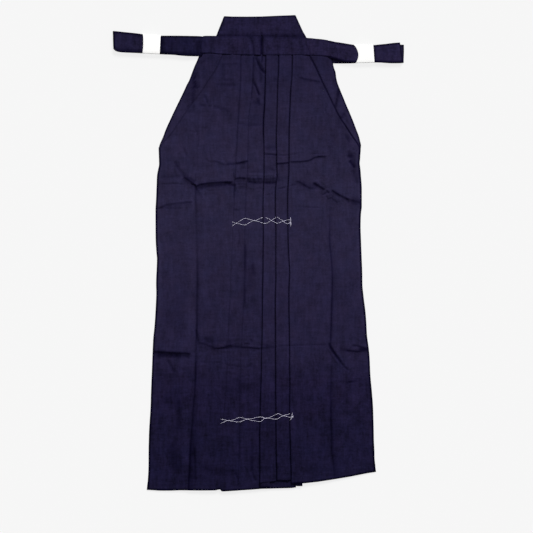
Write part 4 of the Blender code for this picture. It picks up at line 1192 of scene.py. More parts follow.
def front_left():
    """Left leg's front: the centre pleat and two knife pleats."""
    ys = levels()
    u, b, side = common(ys)
    p = PITCH_L
    c, x1 = 0.35, line_x(CENTRE, ys) + 0.65 + 0.35
    x2, x3 = line_x(L_INNER, ys) + 1.0, line_x(L_OUTER, ys) + 1.0
    edge = line_x(L_FRONT, ys)
    press = np.where(ys > my(184), x3 + u + 0.58 * (edge - x3 - u),
                     line_x(L_PRESS, ys))
    press = np.where(ys > my(184), press, press)
    q = np.interp(ys, my([480, 400, 345, 330, 224, 205, 120]),
                  [0.25, 0.45, 0.8, 1.0, 0.9, 0.35, 0.1])
    w = Path(len(ys))
    n1, n2, n3 = "front_left_low", "front_left_1", "front_left_2"
    n4 = "front_left_top"
    w.run(x1 + u - 2, b + p, x1, b + p, 5, n1)
    w.turn(x1, b + p, b + 2 * p, -1, n1)
    dark2, dark3 = gap_dark(L_INNER_GAP, ys), gap_dark(L_OUTER_GAP, ys)
    pleat_top(w, x1, x2, b, b + 2 * p, n2, dark2)
    # deep is painted shade, here in the pleats' gaps
    w.run(x2 - 1.2, b, x2 + 2.5, b, 2, n2, deep=0.7 * dark2)
    w.run(x2 + 2.5, b, x2 + u, b, 4, n2, deep=0.1)
    w.turn(x2 + u, b, b + p, 1, n2)
    w.run(x2 + u, b + p, x2, b + p, 5, n3)
    w.turn(x2, b + p, b + 2 * p, -1, n3)
    pleat_top(w, x2, x3, b, b + 2 * p, n3, dark3)
    w.run(x3 - 1.2, b, x3 + 2.5, b, 2, n3, deep=0.7 * dark3)
    w.run(x3 + 2.5, b, x3 + u, b, 4, n3, deep=0.1)
    w.turn(x3 + u, b, b + p, 1, n3)
    w.run(x3 + u, b + p, x3, b + p, 5, n4)
    w.turn(x3, b + p, b + 2 * p, -1, n4)
    for d, lip, deep in ((0, 0.55, 0.35), (1.2, 0.5, 0.0), (2.8, 0.34, 0.0),
                         (5.0, 0.16, 0.0), (8.0, 0.04, 0.0),
                         (13.0, 0.0, 0.0)):
        w.put(x3 + d, b + 2 * p + lip, n4, deep)
    shoulder(w, x3 + u + 2, b + 2 * p, edge - 4.8, side, press, q, n4)
    wrap = ease((my(143) - ys) / (my(143) - my(151)))
    # painted shade along the free side edge, by level
    line = np.interp(PX_Y - ys / PX, [60, 108, 122, 134], [0.86, 0.86, 1, 1])
    side_edge(w, edge, side, wrap, 1, n4, line)
    grid, tone = place(w, ys, WAIST_SEAM, front_height, front_tone)
    half = hem_half(grid)
    half = edge_half(half, grid, edge[:, None], 7.5)
    return grid, half, tone


def front_right():
    """Right leg's front: two flatter pleats, its centre edge lying lowest."""
    ys = levels()
    u, b, side = common(ys)
    p = PITCH_R
    x1 = line_x(CENTRE, ys)
    x4, x5 = line_x(R_INNER, ys) - 0.8, line_x(R_OUTER, ys) - 0.8
    edge = line_x(R_FRONT, ys)
    press = np.where(ys > my(184), x5 - u + 0.5 * (edge - x5 + u),
                     line_x(R_PRESS, ys))
    q = np.interp(ys, my([490, 420, 345, 300, 184, 165, 120]),
                  [0.7, 0.8, 0.6, 0.8, 0.9, 0.4, 0.1])
    w = Path(len(ys))
    n1, n2, n3 = "front_right_low", "front_right_mid", "front_right_top"
    top = b + 2 * p
    # deep is painted shade, here in the gap by the centre fold
    w.run(x1 + u - 4, b, x1 + 2.0, b, 4, n1, deep=0.7)
    for d, f, deep in ((2.0, 0.0, 0.9), (1.2, 0.03, 0.9), (0.4, 0.1, 0.85),
                       (-0.4, 0.25, 0.65), (-1.2, 0.5, 0.4),
                       (-2.2, 0.75, 0.12), (-3.4, 0.93, 0.0)):
        w.put(x1 + d, b + 0.9 * f, n1, deep)
    w.run(x1 - 4.8, b + 0.9, x4 + 3.0, b + 0.5, 17, n1)
    w.run(x4 + 3.0, b + 0.5, x4 - u, b, 6, n1)
    w.turn(x4 - u, b, b + p, -1, n1)
    w.run(x4 - u, b + p, x4, b + p, 5, n2)
    w.turn(x4, b + p, top, 1, n2)
    w.run(x4, top, x5 + 5.0, b + 0.9, 14, n2)
    w.run(x5 + 5.0, b + 0.9, x5 - 1.0, b, 4, n2, "ease")
    w.run(x5 - 1.0, b, x5 - u, b, 4, n2)
    w.turn(x5 - u, b, b + p, -1, n2)
    w.run(x5 - u, b + p, x5, b + p, 5, n3)
    w.turn(x5, b + p, top, 1, n3)
    w.run(x5, top, x5 - u - 2, top + 0.3, 8, n3)
    shoulder(w, x5 - u - 2, top + 0.3, edge + 4.8, side, press, q, n3)
    wrap = ease((my(143) - ys) / (my(143) - my(151)))
    side_edge(w, edge, side, wrap, -1, n3, 0.3)
    grid, tone = place(w, ys, WAIST_SEAM, front_height, front_tone)
    half = hem_half(grid)
    half = edge_half(half, grid, edge[:, None], 7.5)
    return grid, half, tone


def back(side_name):
    """A back panel, flat on the table, with its pleat at the centre back."""
    left = side_name == "left"
    out = 1 if left else -1
    ys = levels()[::1]
    table = L_BACK if left else R_BACK
    edge = line_x(table, ys)
    inset = 1.3 * ease((my(143) - ys) / (my(143) - my(151)))
    edge = edge - out * inset
    c = CENTRE_BACK + out * 0.15
    h, p = 0.35, BACK_PITCH
    name = "back_" + side_name
    w = Path(len(ys))
    w.run(c + 0.4 * out, h + 2 * p, c + out * BACK_PLEAT, h + 2 * p, 7, name)
    w.turn(c + out * BACK_PLEAT, h + 2 * p, h + p, out, name)
    w.run(c + out * BACK_PLEAT, h + p, c + out * 1.0, h + p, 7, name)
    w.turn(c + out * 1.0, h + p, h, -out, name)
    # past the slanting edge of the front it comes up level with it, and
    # from there it falls away to its own edge
    flap = line_x(L_FRONT if left else R_FRONT, ys)
    side = common(ys)[2]
    last, start = out * edge, out * (c + out * 1.0)
    slant = np.minimum(out * flap, last - 2.4)
    wide = last - slant
    level = (side + 0.15 + 1.2 * ease((ys - 434.0) / 14.0) - h) \
        * ease((wide - 2.4) / 7.0)
    # up by the waistband it stays high until close to its edge
    steep = 1.3 + 5.0 * ease((ys - 415.0) / 30.0)
    # painted shade along the groove by the front's slanting edge, by level
    if left:
        line = gap_dark(((52, 0.5), (66, 0.42), (80, 0.48), (104, 0.56),
                         (112, 0.92), (126, 0.95), (134, 0.85),
                         (150, 0.85)), ys) * ease((wide - 2.4) / 4.0)
    else:
        line = gap_dark(((52, 0.0), (60, 0.1), (63, 0.25), (70, 0.2),
                         (78, 0.38), (84, 0.5), (92, 0.5), (96, 0.22),
                         (103, 0.16), (108, 0.3), (116, 0.22), (125, 0.14),
                         (150, 0.1)), ys) * ease((wide - 2.4) / 4.0)

    def put(at):
        d = at - slant
        fall = np.clip((d - 1.7) / np.maximum(wide - 1.7, 0.5), 0, 1)
        z = h + level * ease(d / 1.7) * (1 - fall ** steep)
        # painted shade in that groove, and along the panel's own edge
        deep = line * np.exp(-((d - 0.3) / 1.25) ** 2)
        rim = 0.97 * np.exp(-((last - at) / 3.4) ** 4)
        w.put(out * at, z, name, 1 - (1 - deep) * (1 - rim))

    for k in range(30):
        put(start + (slant - 7.0 - start) * k / 30)
    for d in (-7.0, -4.0, -2.4, -1.4, -0.7, 0.0):
        put(slant + d)
    narrow = np.minimum(1.0, wide / 14.0)
    for d in (0.4, 0.8, 1.2, 1.6, 2.2, 3.4):
        put(slant + d * narrow)
    stop = last - 4.4 * narrow
    for k in range(1, 15):
        put(slant + 3.4 * narrow + (stop - slant - 3.4 * narrow) * k / 15)
    for d in (4.4, 3.5, 2.8, 2.0, 1.0, 0.0):
        put(last - d * narrow)
    grid, tone = place(w, ys, BACK_SEAM, back_height, back_tone)
    half = hem_half(grid, thick=0.2)
    half = edge_half(half, grid, edge[:, None], 7.5, 0.15)
    # nothing goes below the table
    grid[..., 2] = np.maximum(grid[..., 2], half)
    return grid, half, tone


# --------------------------------------------------------------- materials
def nodes_of(name):
    mat = bpy.data.materials.new(name)
    mat.use_nodes = True
    tree = mat.node_tree
    tree.nodes.clear()
    out = tree.nodes.new("ShaderNodeOutputMaterial")
    bsdf = tree.nodes.new("ShaderNodeBsdfPrincipled")
    tree.links.new(bsdf.outputs["BSDF"], out.inputs["Surface"])
    return mat, tree, bsdf


def node(tree, kind, **values):
    n = tree.nodes.new(kind)
    for key, value in values.items():
        if key in n.inputs:
            n.inputs[key].default_value = value
        else:
            setattr(n, key, value)
    return n


def mathn(tree, op, a, b=None, clamp=False):
    n = tree.nodes.new("ShaderNodeMath")
    n.operation = op
    n.use_clamp = clamp
    for i, value in enumerate((a, b)):
        if value is None:
            continue
        if isinstance(value, (int, float)):
            n.inputs[i].default_value = value
        else:
            tree.links.new(value, n.inputs[i])
    return n.outputs[0]


def ramp_node(tree, value, stops):
    ramp = node(tree, "ShaderNodeValToRGB")
    tree.links.new(value, ramp.inputs[0])
    els = ramp.color_ramp.elements
    els[0].position, els[1].position = 0.0, 1.0
    for stop in stops[1:-1]:
        els.new(stop[0])
    for el, (pos, r, g, b) in zip(els, stops):
        el.position = pos
        el.color = (r, g, b, 1)
    return ramp.outputs[0]


def times(tree, a, b):
    mix = node(tree, "ShaderNodeMix", data_type="RGBA", blend_type="MULTIPLY")
    mix.inputs[0].default_value = 1.0
    for i, value in ((6, a), (7, b)):
        if isinstance(value, tuple):
            mix.inputs[i].default_value = value
        else:
            tree.links.new(value, mix.inputs[i])
    return mix.outputs[2]


# Painted shade along the length, for light that falls off: the cloth is made
# darker towards the waist and much darker towards the hem; place from the
# waist's end (0) to the hem's (1), then red, green, blue.
LENGTH_SHADE = ((0.0, 0.70, 0.69, 0.80), (0.094, 0.745, 0.73, 0.84),
       (0.178, 0.86, 0.84, 0.90), (0.262, 0.95, 0.93, 0.955),
       (0.388, 1.0, 1.0, 1.0), (0.472, 0.955, 0.935, 0.955),
       (0.599, 0.83, 0.80, 0.875), (0.683, 0.75, 0.72, 0.82),
       (0.725, 0.69, 0.66, 0.77), (0.767, 0.55, 0.505, 0.66),
       (0.809, 0.50, 0.455, 0.63), (0.851, 0.435, 0.41, 0.56),
       (0.914, 0.40, 0.39, 0.55), (1.0, 0.40, 0.39, 0.55))
# Painted shade and light across the straps, where light falls on them unevenly, from the right
# leg's end to the left's.
STRAP_SHADE = ((0.0, 0.84, 0.84, 0.86), (0.10, 0.84, 0.84, 0.86),
             (0.17, 0.58, 0.60, 0.70), (0.27, 0.58, 0.61, 0.71),
             (0.325, 0.80, 0.81, 0.88), (0.40, 0.92, 0.90, 0.94),
             (0.62, 0.97, 0.92, 0.96), (0.76, 1.04, 0.98, 1.0),
             (1.0, 1.02, 0.98, 1.0))


def cloth_material(name, mottle=1.0, strap=False):
    """Matt navy plain weave: threads, slubs and uneven tone, with painted shade along its
    length, in its creases and along its edges.
    """
    mat, tree, bsdf = nodes_of(name)
    link = tree.links.new
    coord = node(tree, "ShaderNodeTexCoord")
    split = node(tree, "ShaderNodeSeparateXYZ")
    link(coord.outputs["Object"], split.inputs[0])
    x, y = split.outputs[0], split.outputs[1]
    t = mathn(tree, "ADD", mathn(tree, "MULTIPLY", y, -1.0), 0.54)
    t = t0 = mathn(tree, "DIVIDE", t, 1.08, clamp=True)
    colour = times(tree, (*NAVY, 1), ramp_node(tree, t, LENGTH_SHADE))
    # the straps get painted shade across them as well
    if strap:
        t = mathn(tree, "ADD", x, 0.33)
        t = mathn(tree, "DIVIDE", t, 0.66, clamp=True)
        colour = times(tree, colour, ramp_node(tree, t, STRAP_SHADE))

    # mottle: broad patches, clouds, streaks along the warp, slubs, grain
    def noise_tex(scale, sx, sy, detail, rough=0.5, shift=0.0):
        mapping = node(tree, "ShaderNodeMapping")
        mapping.inputs["Scale"].default_value = (sx, sy, 1.0)
        mapping.inputs["Location"].default_value = (shift, shift * 0.7, shift)
        link(coord.outputs["Object"], mapping.inputs["Vector"])
        tex = node(tree, "ShaderNodeTexNoise", Scale=scale, Detail=detail,
                   Roughness=rough)
        link(mapping.outputs[0], tex.inputs["Vector"])
        return tex.outputs[0]

    broad = noise_tex(13, 1.3, 1.0, 2.0, 0.6)
    cloud = noise_tex(50, 1.5, 0.75, 1.0, 0.5, 0.31)
    weft = noise_tex(85, 0.34, 1.7, 2.0, 0.6, 1.93)
    streak = noise_tex(105, 1.7, 0.26, 2.0, 0.6, 0.57)
    slub = noise_tex(380, 0.4, 1.0, 1.0, 0.5, 0.83)
    grain = noise_tex(240, 1.0, 0.7, 1.0, 0.6, 1.17)
    amounts = ((broad, 0.44), (cloud, 0.46), (weft, 0.46), (streak, 0.52),
               (slub, 0.30), (grain, 0.42))
    tone, total = None, 0.0
    for tex, k in amounts:
        part = mathn(tree, "MULTIPLY", tex, k * mottle)
        tone = part if tone is None else mathn(tree, "ADD", tone, part)
        total += 0.5 * k * mottle
    # the lower part, where the painted shade is deepest, is the most uneven
    lower = mathn(tree, "MULTIPLY", mathn(tree, "SUBTRACT", t0, 0.62), 5.0,
                  clamp=True)
    gain = mathn(tree, "ADD", mathn(tree, "MULTIPLY", lower, 0.7), 1.0)
    tone = mathn(tree, "SUBTRACT", tone, total)
    tone = mathn(tree, "ADD", mathn(tree, "MULTIPLY", tone, gain), 1.0)
    tone = mathn(tree, "MAXIMUM", tone, 0.3)
    # threads
    pitch = 0.00085
    ends = mathn(tree, "SINE", mathn(tree, "MULTIPLY", x, math.pi / pitch))
    picks = mathn(tree, "SINE", mathn(tree, "MULTIPLY", y, math.pi / pitch))
    over = mathn(tree, "MULTIPLY", ends, picks)
    lines = mathn(tree, "ADD", mathn(tree, "ABSOLUTE", ends),
                  mathn(tree, "ABSOLUTE", picks))
    height = mathn(tree, "ADD", mathn(tree, "MULTIPLY", over, 0.5),
                   mathn(tree, "MULTIPLY", lines, 0.35))
    thread = mathn(tree, "ADD", mathn(tree, "MULTIPLY", lines, 0.09), 0.885)
    tone = mathn(tree, "MULTIPLY", tone, thread)
    # painted shade along turned edges, pleats and hard creases, from the attribute deep
    deep = node(tree, "ShaderNodeAttribute")
    deep.attribute_name = "deep"
    # and a slight drift of hue, redder here and bluer there
    hue = noise_tex(30, 1.0, 1.0, 2.0, 0.6, 2.3)
    hue = mathn(tree, "SUBTRACT", hue, 0.5)
    grey = node(tree, "ShaderNodeCombineColor")
    for i, k in enumerate((0.22, 0.0, -0.12)):
        shift = mathn(tree, "ADD", mathn(tree, "MULTIPLY", hue, k), 1.0)
        painted_shade = mathn(tree, "MULTIPLY", deep.outputs["Fac"], -DEEPEST[i])
        shift = mathn(tree, "MULTIPLY", shift,
                      mathn(tree, "ADD", painted_shade, 1.0))
        link(mathn(tree, "MULTIPLY", tone, shift), grey.inputs[i])
    link(times(tree, colour, grey.outputs[0]), bsdf.inputs["Base Color"])
    rough = mathn(tree, "ADD", mathn(tree, "MULTIPLY", streak, 0.12), 0.76)
    link(rough, bsdf.inputs["Roughness"])
    bsdf.inputs["Specular IOR Level"].default_value = 0.02
    bsdf.inputs["Sheen Weight"].default_value = 0.02
    bsdf.inputs["Sheen Roughness"].default_value = 0.45
    bsdf.inputs["Sheen Tint"].default_value = (0.62, 0.56, 0.95, 1)
    bump = node(tree, "ShaderNodeBump")
    bump.inputs["Strength"].default_value = 0.35
    bump.inputs["Distance"].default_value = 0.00018
    link(height, bump.inputs["Height"])
    bump2 = node(tree, "ShaderNodeBump")
    bump2.inputs["Strength"].default_value = 0.5
    bump2.inputs["Distance"].default_value = 0.0005
    link(mathn(tree, "ADD", streak, mathn(tree, "MULTIPLY", slub, 0.5)),
         bump2.inputs["Height"])
    link(bump.outputs[0], bump2.inputs["Normal"])
    link(bump2.outputs[0], bsdf.inputs["Normal"])
    return mat


NAVY = (0.0187, 0.0156, 0.0424)
# how much of red, green and blue the fullest painted shade takes away
DEEPEST = (0.86, 0.90, 0.70)


def plain_material(name, colour, rough, grain=0.0, scale=300.0, sheen=0.0,
                   vary=0.06):
    mat, tree, bsdf = nodes_of(name)
    link = tree.links.new
    coord = node(tree, "ShaderNodeTexCoord")
    tex = node(tree, "ShaderNodeTexNoise", Scale=scale, Detail=4.0,
               Roughness=0.6)
    link(coord.outputs["Object"], tex.inputs["Vector"])
    tone = mathn(tree, "ADD", mathn(tree, "MULTIPLY", tex.outputs[0], vary),
                 1.0 - vary / 2)
    grey = node(tree, "ShaderNodeCombineColor")
    for i, c in enumerate(colour):
        link(mathn(tree, "MULTIPLY", tone, float(c)), grey.inputs[i])
    link(grey.outputs[0], bsdf.inputs["Base Color"])
    bsdf.inputs["Roughness"].default_value = rough
    bsdf.inputs["Specular IOR Level"].default_value = 0.3
    bsdf.inputs["Sheen Weight"].default_value = sheen
    if grain:
        bump = node(tree, "ShaderNodeBump")
        bump.inputs["Strength"].default_value = grain
        bump.inputs["Distance"].default_value = 0.0002
        link(tex.outputs[0], bump.inputs["Height"])
        link(bump.outputs[0], bsdf.inputs["Normal"])
    return mat


cloth = cloth_material("navy_cotton")
strap_cloth = cloth_material("navy_cotton_straps", 1.7, True)
paper = plain_material("white_paper", (0.93, 0.925, 0.915), 0.7, 0.25, 260.0,
                       vary=0.03)
white_thread = plain_material("white_cotton_thread", (0.81, 0.785, 0.96), 0.8,
                              0.4, 900.0, sheen=0.2)
navy_thread = plain_material("navy_thread", (0.007, 0.0058, 0.017), 0.9, 0.3,
                             900.0)


def dress(ob, mat, slot, *replaced, sheet=None):
    ob.data.materials.append(mat)
    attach(ob, "root")
    if replaced:
        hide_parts(*replaced)
    return ob


# ------------------------------------------------------------------ panels
fl_grid, fl_half, fl_tone = front_left()
fr_grid, fr_half, fr_tone = front_right()
bl_grid, bl_half, bl_tone = back("left")
br_grid, br_half, br_tone = back("right")
front_left_ob = dress(
    shell("front_left_leg_cloth", fl_grid, fl_half, -1, fl_tone), cloth,
    "navy_cloth", "front_panel_left_leg",
    sheet=dict(flat=(0.414, 0.982), held="laid", area=0.321,
               rests_on=["back_panel_left_leg", "gusset_left_leg"]))
front_right_ob = dress(
    shell("front_right_leg_cloth", fr_grid, fr_half, 1, fr_tone), cloth,
    "navy_cloth", "front_panel_right_leg",
    sheet=dict(flat=(0.375, 1.006), held="laid", area=0.329,
               rests_on=["back_panel_right_leg", "gusset_right_leg"]))
back_left_ob = dress(
    shell("back_left_leg_cloth", bl_grid, bl_half, 1, bl_tone), cloth,
    "navy_cloth", "back_panel_left_leg",
    sheet=dict(flat=(0.345, 0.980), held="laid", area=0.303))
back_right_ob = dress(
    shell("back_right_leg_cloth", br_grid, br_half, -1, br_tone), cloth,
    "navy_cloth", "back_panel_right_leg",
    sheet=dict(flat=(0.338, 1.006), held="laid", area=0.308))


# ---------------------------------------------------------------- gussets
def gusset(side_name):
    """The plain insert between the legs, from below the waist to the hem."""
    out = 1 if side_name == "left" else -1
    c = CENTRE_BACK + out * 0.15
    rows, cols = 64, 12
    t = np.concatenate([np.linspace(0, 0.985, rows - 8, endpoint=False),
                        np.linspace(0.985, 1, 8)])[:, None]
    u = np.linspace(0, 1, cols)[None, :]
    wide = 14 + 67 * t
    x = c + out * (0.5 + (wide - 0.5) * u)
    tables = {"left": ((4.0, -535.0), (39.8, -534.0), (67.0, -533.4),
                       (80.7, -532.6), (86.0, -531.6)),
              "right": ((-78.0, -532.0), (4.0, -531.0))}
    end = along(tables[side_name], x)
    y = 26.0 + (end - 26.0) * t
    z = 4.3 + 0.18 * noise(x, y, 40, 21) + 0 * x
    # with painted shade along its hem end
    return np.stack([x, y, z], axis=2), 0.96 * np.exp(
        -((y - end) / 3.2) ** 4)


for leg, sign in (("left", -1), ("right", 1)):
    g, g_tone = gusset(leg)
    half = np.full(g.shape[:2], 0.33)
    dress(shell("gusset_%s_leg_cloth" % leg, g, half, sign, g_tone), cloth,
          "navy_cloth", "gusset_%s_leg" % leg,
          sheet=dict(flat=(0.081, 0.562), held="laid", area=0.0268,
                     rests_on=["back_panel_%s_leg" % leg]))


# ------------------------------------------------- board, waistband and ties
STRAP_COLUMNS = ("x_upper", "x_lower", "y_upper", "y_lower", "z_low", "z_high")
BACK_TIE_RIGHT = (
    (-97.6, -112.9, 488.6, 455.2, 0.0, 2.2),
    (-126.0, -131.0, 490.6, 452.4, 0.0, 2.6),
    (-142.0, -142.0, 491.6, 447.4, 0.0, 3.4),
    (-169.0, -169.0, 492.2, 448.4, 0.0, 3.4),
    (-196.2, -196.2, 492.3, 451.3, 0.0, 3.4),
    (-214.0, -214.0, 492.2, 452.2, 0.0, 3.4),
    (-219.0, -219.0, 492.0, 452.6, 0.8, 3.9),
    (-266.0, -266.0, 495.8, 454.9, 0.8, 3.9),
    (-271.0, -271.0, 496.6, 455.0, 0.0, 3.4),
    (-309.7, -309.7, 501.2, 456.9, 0.0, 3.4),
    (-321.0, -321.0, 502.4, 458.6, 0.0, 3.4),
    (-330.2, -328.6, 503.2, 463.4, 0.0, 3.4),
)
FRONT_TIE_RIGHT = (
    (-121.0, -126.5, 490.4, 449.6, 3.9, 5.9),
    (-134.0, -134.0, 492.2, 446.8, 3.7, 6.6),
    (-150.0, -150.0, 492.5, 446.9, 3.7, 8.0),
    (-169.0, -169.0, 492.7, 448.1, 3.7, 9.3),
    (-196.2, -196.2, 492.8, 450.8, 3.7, 9.3),
    (-214.0, -214.0, 492.8, 451.5, 3.7, 9.3),
    (-219.0, -219.0, 492.8, 451.7, 4.2, 8.9),
    (-266.0, -266.0, 496.6, 454.2, 4.2, 8.9),
    (-271.0, -271.0, 497.4, 454.5, 3.7, 9.3),
    (-309.7, -309.7, 501.6, 456.3, 3.7, 9.3),
    (-321.1, -321.1, 502.8, 458.0, 3.7, 9.3),
    (-330.4, -328.4, 503.6, 462.4, 3.7, 9.3),
)
BACK_TIE_LEFT = (
    (108.8, 125.2, 485.6, 451.4, 0.0, 2.2),
    (150.0, 155.0, 482.0, 449.4, 0.0, 2.6),
    (160.0, 164.0, 480.0, 446.0, 0.0, 3.2),
    (167.2, 167.6, 477.4, 431.4, 0.0, 3.4),
    (193.1, 193.1, 473.0, 431.2, 0.0, 3.4),
    (214.0, 214.0, 470.2, 431.5, 0.0, 3.4),
    (221.0, 221.0, 469.8, 432.0, 0.8, 3.9),
    (265.0, 265.0, 470.2, 433.4, 0.8, 3.9),
    (270.0, 270.0, 470.8, 433.4, 0.0, 3.4),
    (304.0, 304.0, 472.4, 431.6, 0.0, 3.4),
    (323.0, 323.0, 473.2, 431.8, 0.0, 3.4),
    (330.0, 329.4, 472.9, 432.6, 0.0, 3.3),
)
FRONT_TIE_LEFT = (
    (144.0, 149.0, 482.4, 448.4, 3.9, 5.9),
    (160.0, 164.0, 482.0, 443.6, 3.7, 6.7),
    (174.0, 176.0, 479.0, 440.0, 3.7, 8.0),
    (185.0, 185.6, 477.4, 437.4, 3.7, 9.1),
    (199.0, 199.0, 475.1, 434.2, 3.7, 9.3),
    (214.0, 214.0, 472.6, 433.2, 3.7, 9.3),
    (221.0, 221.0, 471.9, 432.8, 4.2, 8.9),
    (265.0, 265.0, 471.9, 434.2, 4.2, 8.9),
    (270.0, 270.0, 472.5, 433.6, 3.7, 9.3),
    (287.3, 287.3, 474.2, 432.6, 3.7, 9.3),
    (310.0, 310.0, 476.9, 432.2, 3.7, 9.3),
    (320.4, 327.8, 477.5, 432.8, 3.8, 9.2),
)
WAISTBAND = (
    (-125.4, -133.2, 492.6, 453.6, 5.8, 7.0),
    (-118.0, -124.0, 493.2, 453.6, 5.7, 7.1),
    (-108.0, -110.0, 493.2, 453.2, 4.7, 7.3),
    (-95.0, -95.0, 493.0, 451.8, 4.3, 7.6),
    (-60.0, -60.0, 492.8, 449.6, 4.3, 8.0),
    (-19.0, -19.0, 492.6, 448.6, 4.3, 8.4),
    (12.0, 12.0, 491.8, 448.3, 4.3, 8.9),
    (40.0, 40.0, 491.0, 448.2, 4.3, 9.1),
    (85.0, 85.0, 489.2, 448.6, 4.3, 8.9),
    (117.0, 117.0, 488.1, 448.4, 4.3, 7.8),
    (131.0, 135.0, 486.6, 447.8, 4.7, 7.3),
    (142.0, 147.0, 485.6, 447.2, 5.7, 7.1),
    (157.2, 167.2, 483.4, 445.2, 5.7, 7.0),
)
# Puckers of the waistband and soft dents of the ties, in the picture.
BAND_CREASES = (
    ("groove", 0.7, 3.2, 0, 3, ((200.6, 38.4), (200.4, 46.0),
                                (199.4, 55.0)), 0.60, 3.0),
    ("groove", 0.4, 5.0, 0, 3, ((203.0, 40.0), (206.0, 48.0)), 0.22, 4.6),
    ("groove", 1.9, 2.4, 0, 3, ((261.9, 30.0), (261.5, 40.0), (261.4, 48.0),
                                (261.8, 58.0)), 0.86, 2.6),
    ("groove", 0.5, 4.4, 0, 4, ((259.4, 36.0), (259.8, 55.0)), 0.24, 4.4),
    ("groove", 0.3, 6.0, 0, 4, ((262.2, 33.0), (261.6, 56.0)), 0.26, 6.4),
    ("ridge", 0.7, 3.4, 0, 3, ((265.4, 36.0), (265.2, 54.0))),
    ("groove", 0.9, 4.2, 0, 4, ((249.6, 36.0), (252.2, 42.0), (253.6, 50.0),
                                (253.9, 57.0))),
    ("ridge", 0.4, 3.6, 0, 4, ((256.6, 38.0), (257.6, 52.0))),
    ("groove", 0.6, 2.6, 0, 3, ((305.6, 43.0), (308.4, 50.0),
                                (311.8, 58.0))),
    ("groove", 0.4, 2.6, 0, 4, ((277.2, 40.0), (277.9, 58.0))),
    ("groove", 0.35, 2.8, 0, 4, ((291.0, 42.0), (292.4, 58.0))),
    ("groove", 0.3, 3.0, 0, 4, ((231.8, 40.0), (232.4, 56.0))),
    ("groove", 0.35, 3.2, 0, 5, ((213.0, 37.0), (212.4, 46.0))),
    ("groove", 0.28, 2.2, 0, 5, ((226.0, 48.6), (238.0, 48.2),
                                 (248.0, 48.8))),
    ("groove", 0.3, 2.4, 0, 5, ((279.0, 47.6), (291.0, 48.4))),
    ("groove", 0.6, 3.0, 0, 3, ((331.6, 45.0), (332.4, 53.0))),
    ("groove", 0.35, 3.2, 0, 4, ((323.6, 42.0), (324.6, 52.0))),
    ("groove", 0.3, 3.6, 0, 4, ((300.6, 40.0), (299.8, 50.0))),
)
TIE_CREASES = (
    ("groove", 0.5, 2.6, 0, 4, ((184.0, 54.0), (192.0, 54.8),
                                (199.6, 55.8)), 0.84, 3.0),
    ("groove", 0.5, 5.0, 0, 4, ((202.0, 39.0), (201.0, 52.0)), 0.30, 5.0),
    ("groove", 0.4, 2.6, 0, 3, ((337.0, 44.2), (346.0, 45.4)), 0.40, 2.6),
    ("groove", 0.7, 3.2, 0, 3, ((199.0, 38.4), (198.6, 46.0),
                                (198.0, 54.0)), 0.60, 3.4),
    ("groove", 0.4, 3.0, 0, 3, ((187.2, 38.6), (187.6, 45.0)), 0.36, 3.6),
    ("groove", 0.4, 5.6, 0, 4, ((169.4, 41.0), (171.4, 50.0)), 0.34, 5.6),
    ("ridge", 0.3, 4.0, 0, 4, ((164.6, 40.0), (164.2, 51.0)), -0.10, 4.0),
    ("ridge", 0.3, 4.0, 0, 4, ((180.0, 47.0), (181.0, 53.0)), -0.08, 4.0),
    ("groove", 0.5, 6.0, 0, 4, ((200.2, 40.0), (199.8, 54.0)), 0.26, 7.0),
    ("ridge", 0.3, 3.4, 0, 4, ((193.8, 40.0), (194.2, 47.0)), -0.10, 3.4),
    ("groove", 0.4, 3.0, 0, 3, ((186.0, 48.4), (192.0, 51.6)), 0.34, 3.0),
    ("groove", 0.4, 3.0, 0, 3, ((177.6, 43.6), (183.4, 46.0)), 0.26, 3.0),
    ("groove", 0.55, 4.5, 0, 5, ((171.6, 40.0), (172.6, 47.0))),
    ("groove", 0.7, 4.5, 0, 5, ((186.6, 40.0), (187.2, 45.0))),
    ("ridge", 0.4, 5.0, 0, 5, ((190.6, 45.6), (196.0, 50.6))),
    ("groove", 0.7, 4.0, 0, 5, ((197.0, 40.0), (198.4, 47.0),
                                (198.0, 54.0))),
    ("groove", 0.4, 5.0, 0, 5, ((124.6, 38.6), (133.0, 42.2))),
    ("groove", 0.4, 5.0, 0, 5, ((121.6, 48.0), (131.0, 47.4))),
    ("ridge", 0.3, 5.0, 0, 5, ((136.6, 38.6), (137.6, 50.0)), -0.16, 8.0),
    ("ridge", 0.2, 4.0, 0, 5, ((116.8, 37.0), (117.2, 47.0)), -0.10, 4.0),
    ("groove", 0.6, 3.2, 0, 5, ((383.0, 44.0), (384.0, 52.0),
                                (383.2, 63.0))),
    ("groove", 0.6, 3.2, 0, 5, ((388.0, 50.0), (387.6, 60.0))),
    ("groove", 0.4, 3.6, 0, 5, ((393.4, 46.0), (394.4, 56.0))),
    ("groove", 0.8, 3.0, 0, 5, ((334.0, 45.0), (335.6, 50.6),
                                (338.0, 55.4))),
    ("groove", 0.5, 3.0, 0, 5, ((341.0, 50.0), (345.0, 53.6))),
    ("ridge", 0.5, 3.4, 0, 5, ((348.6, 46.0), (350.4, 56.0))),
)


def pchip_at(xs, ys_, q):
    """pchip through (xs, ys_) at q, for rising xs."""
    pairs = tuple(zip(xs, ys_))
    return curve(pairs, q)


class Strap:
    """The table of a strap read smoothly at a distance along it."""

    def __init__(self, rows):
        self.t = np.array(rows, float)
        mean = (self.t[:, 0] + self.t[:, 1]) / 2
        self.s = np.abs(mean - mean[0])
        self.out = 1 if mean[-1] > mean[0] else -1
        self.length = float(self.s[-1])

    def at(self, s):
        return [pchip_at(self.s, self.t[:, k], s) for k in range(6)]


PAPER_EDGES = (-265.0, -221.2, 264.9)     # X of the papers' edges on the cloth


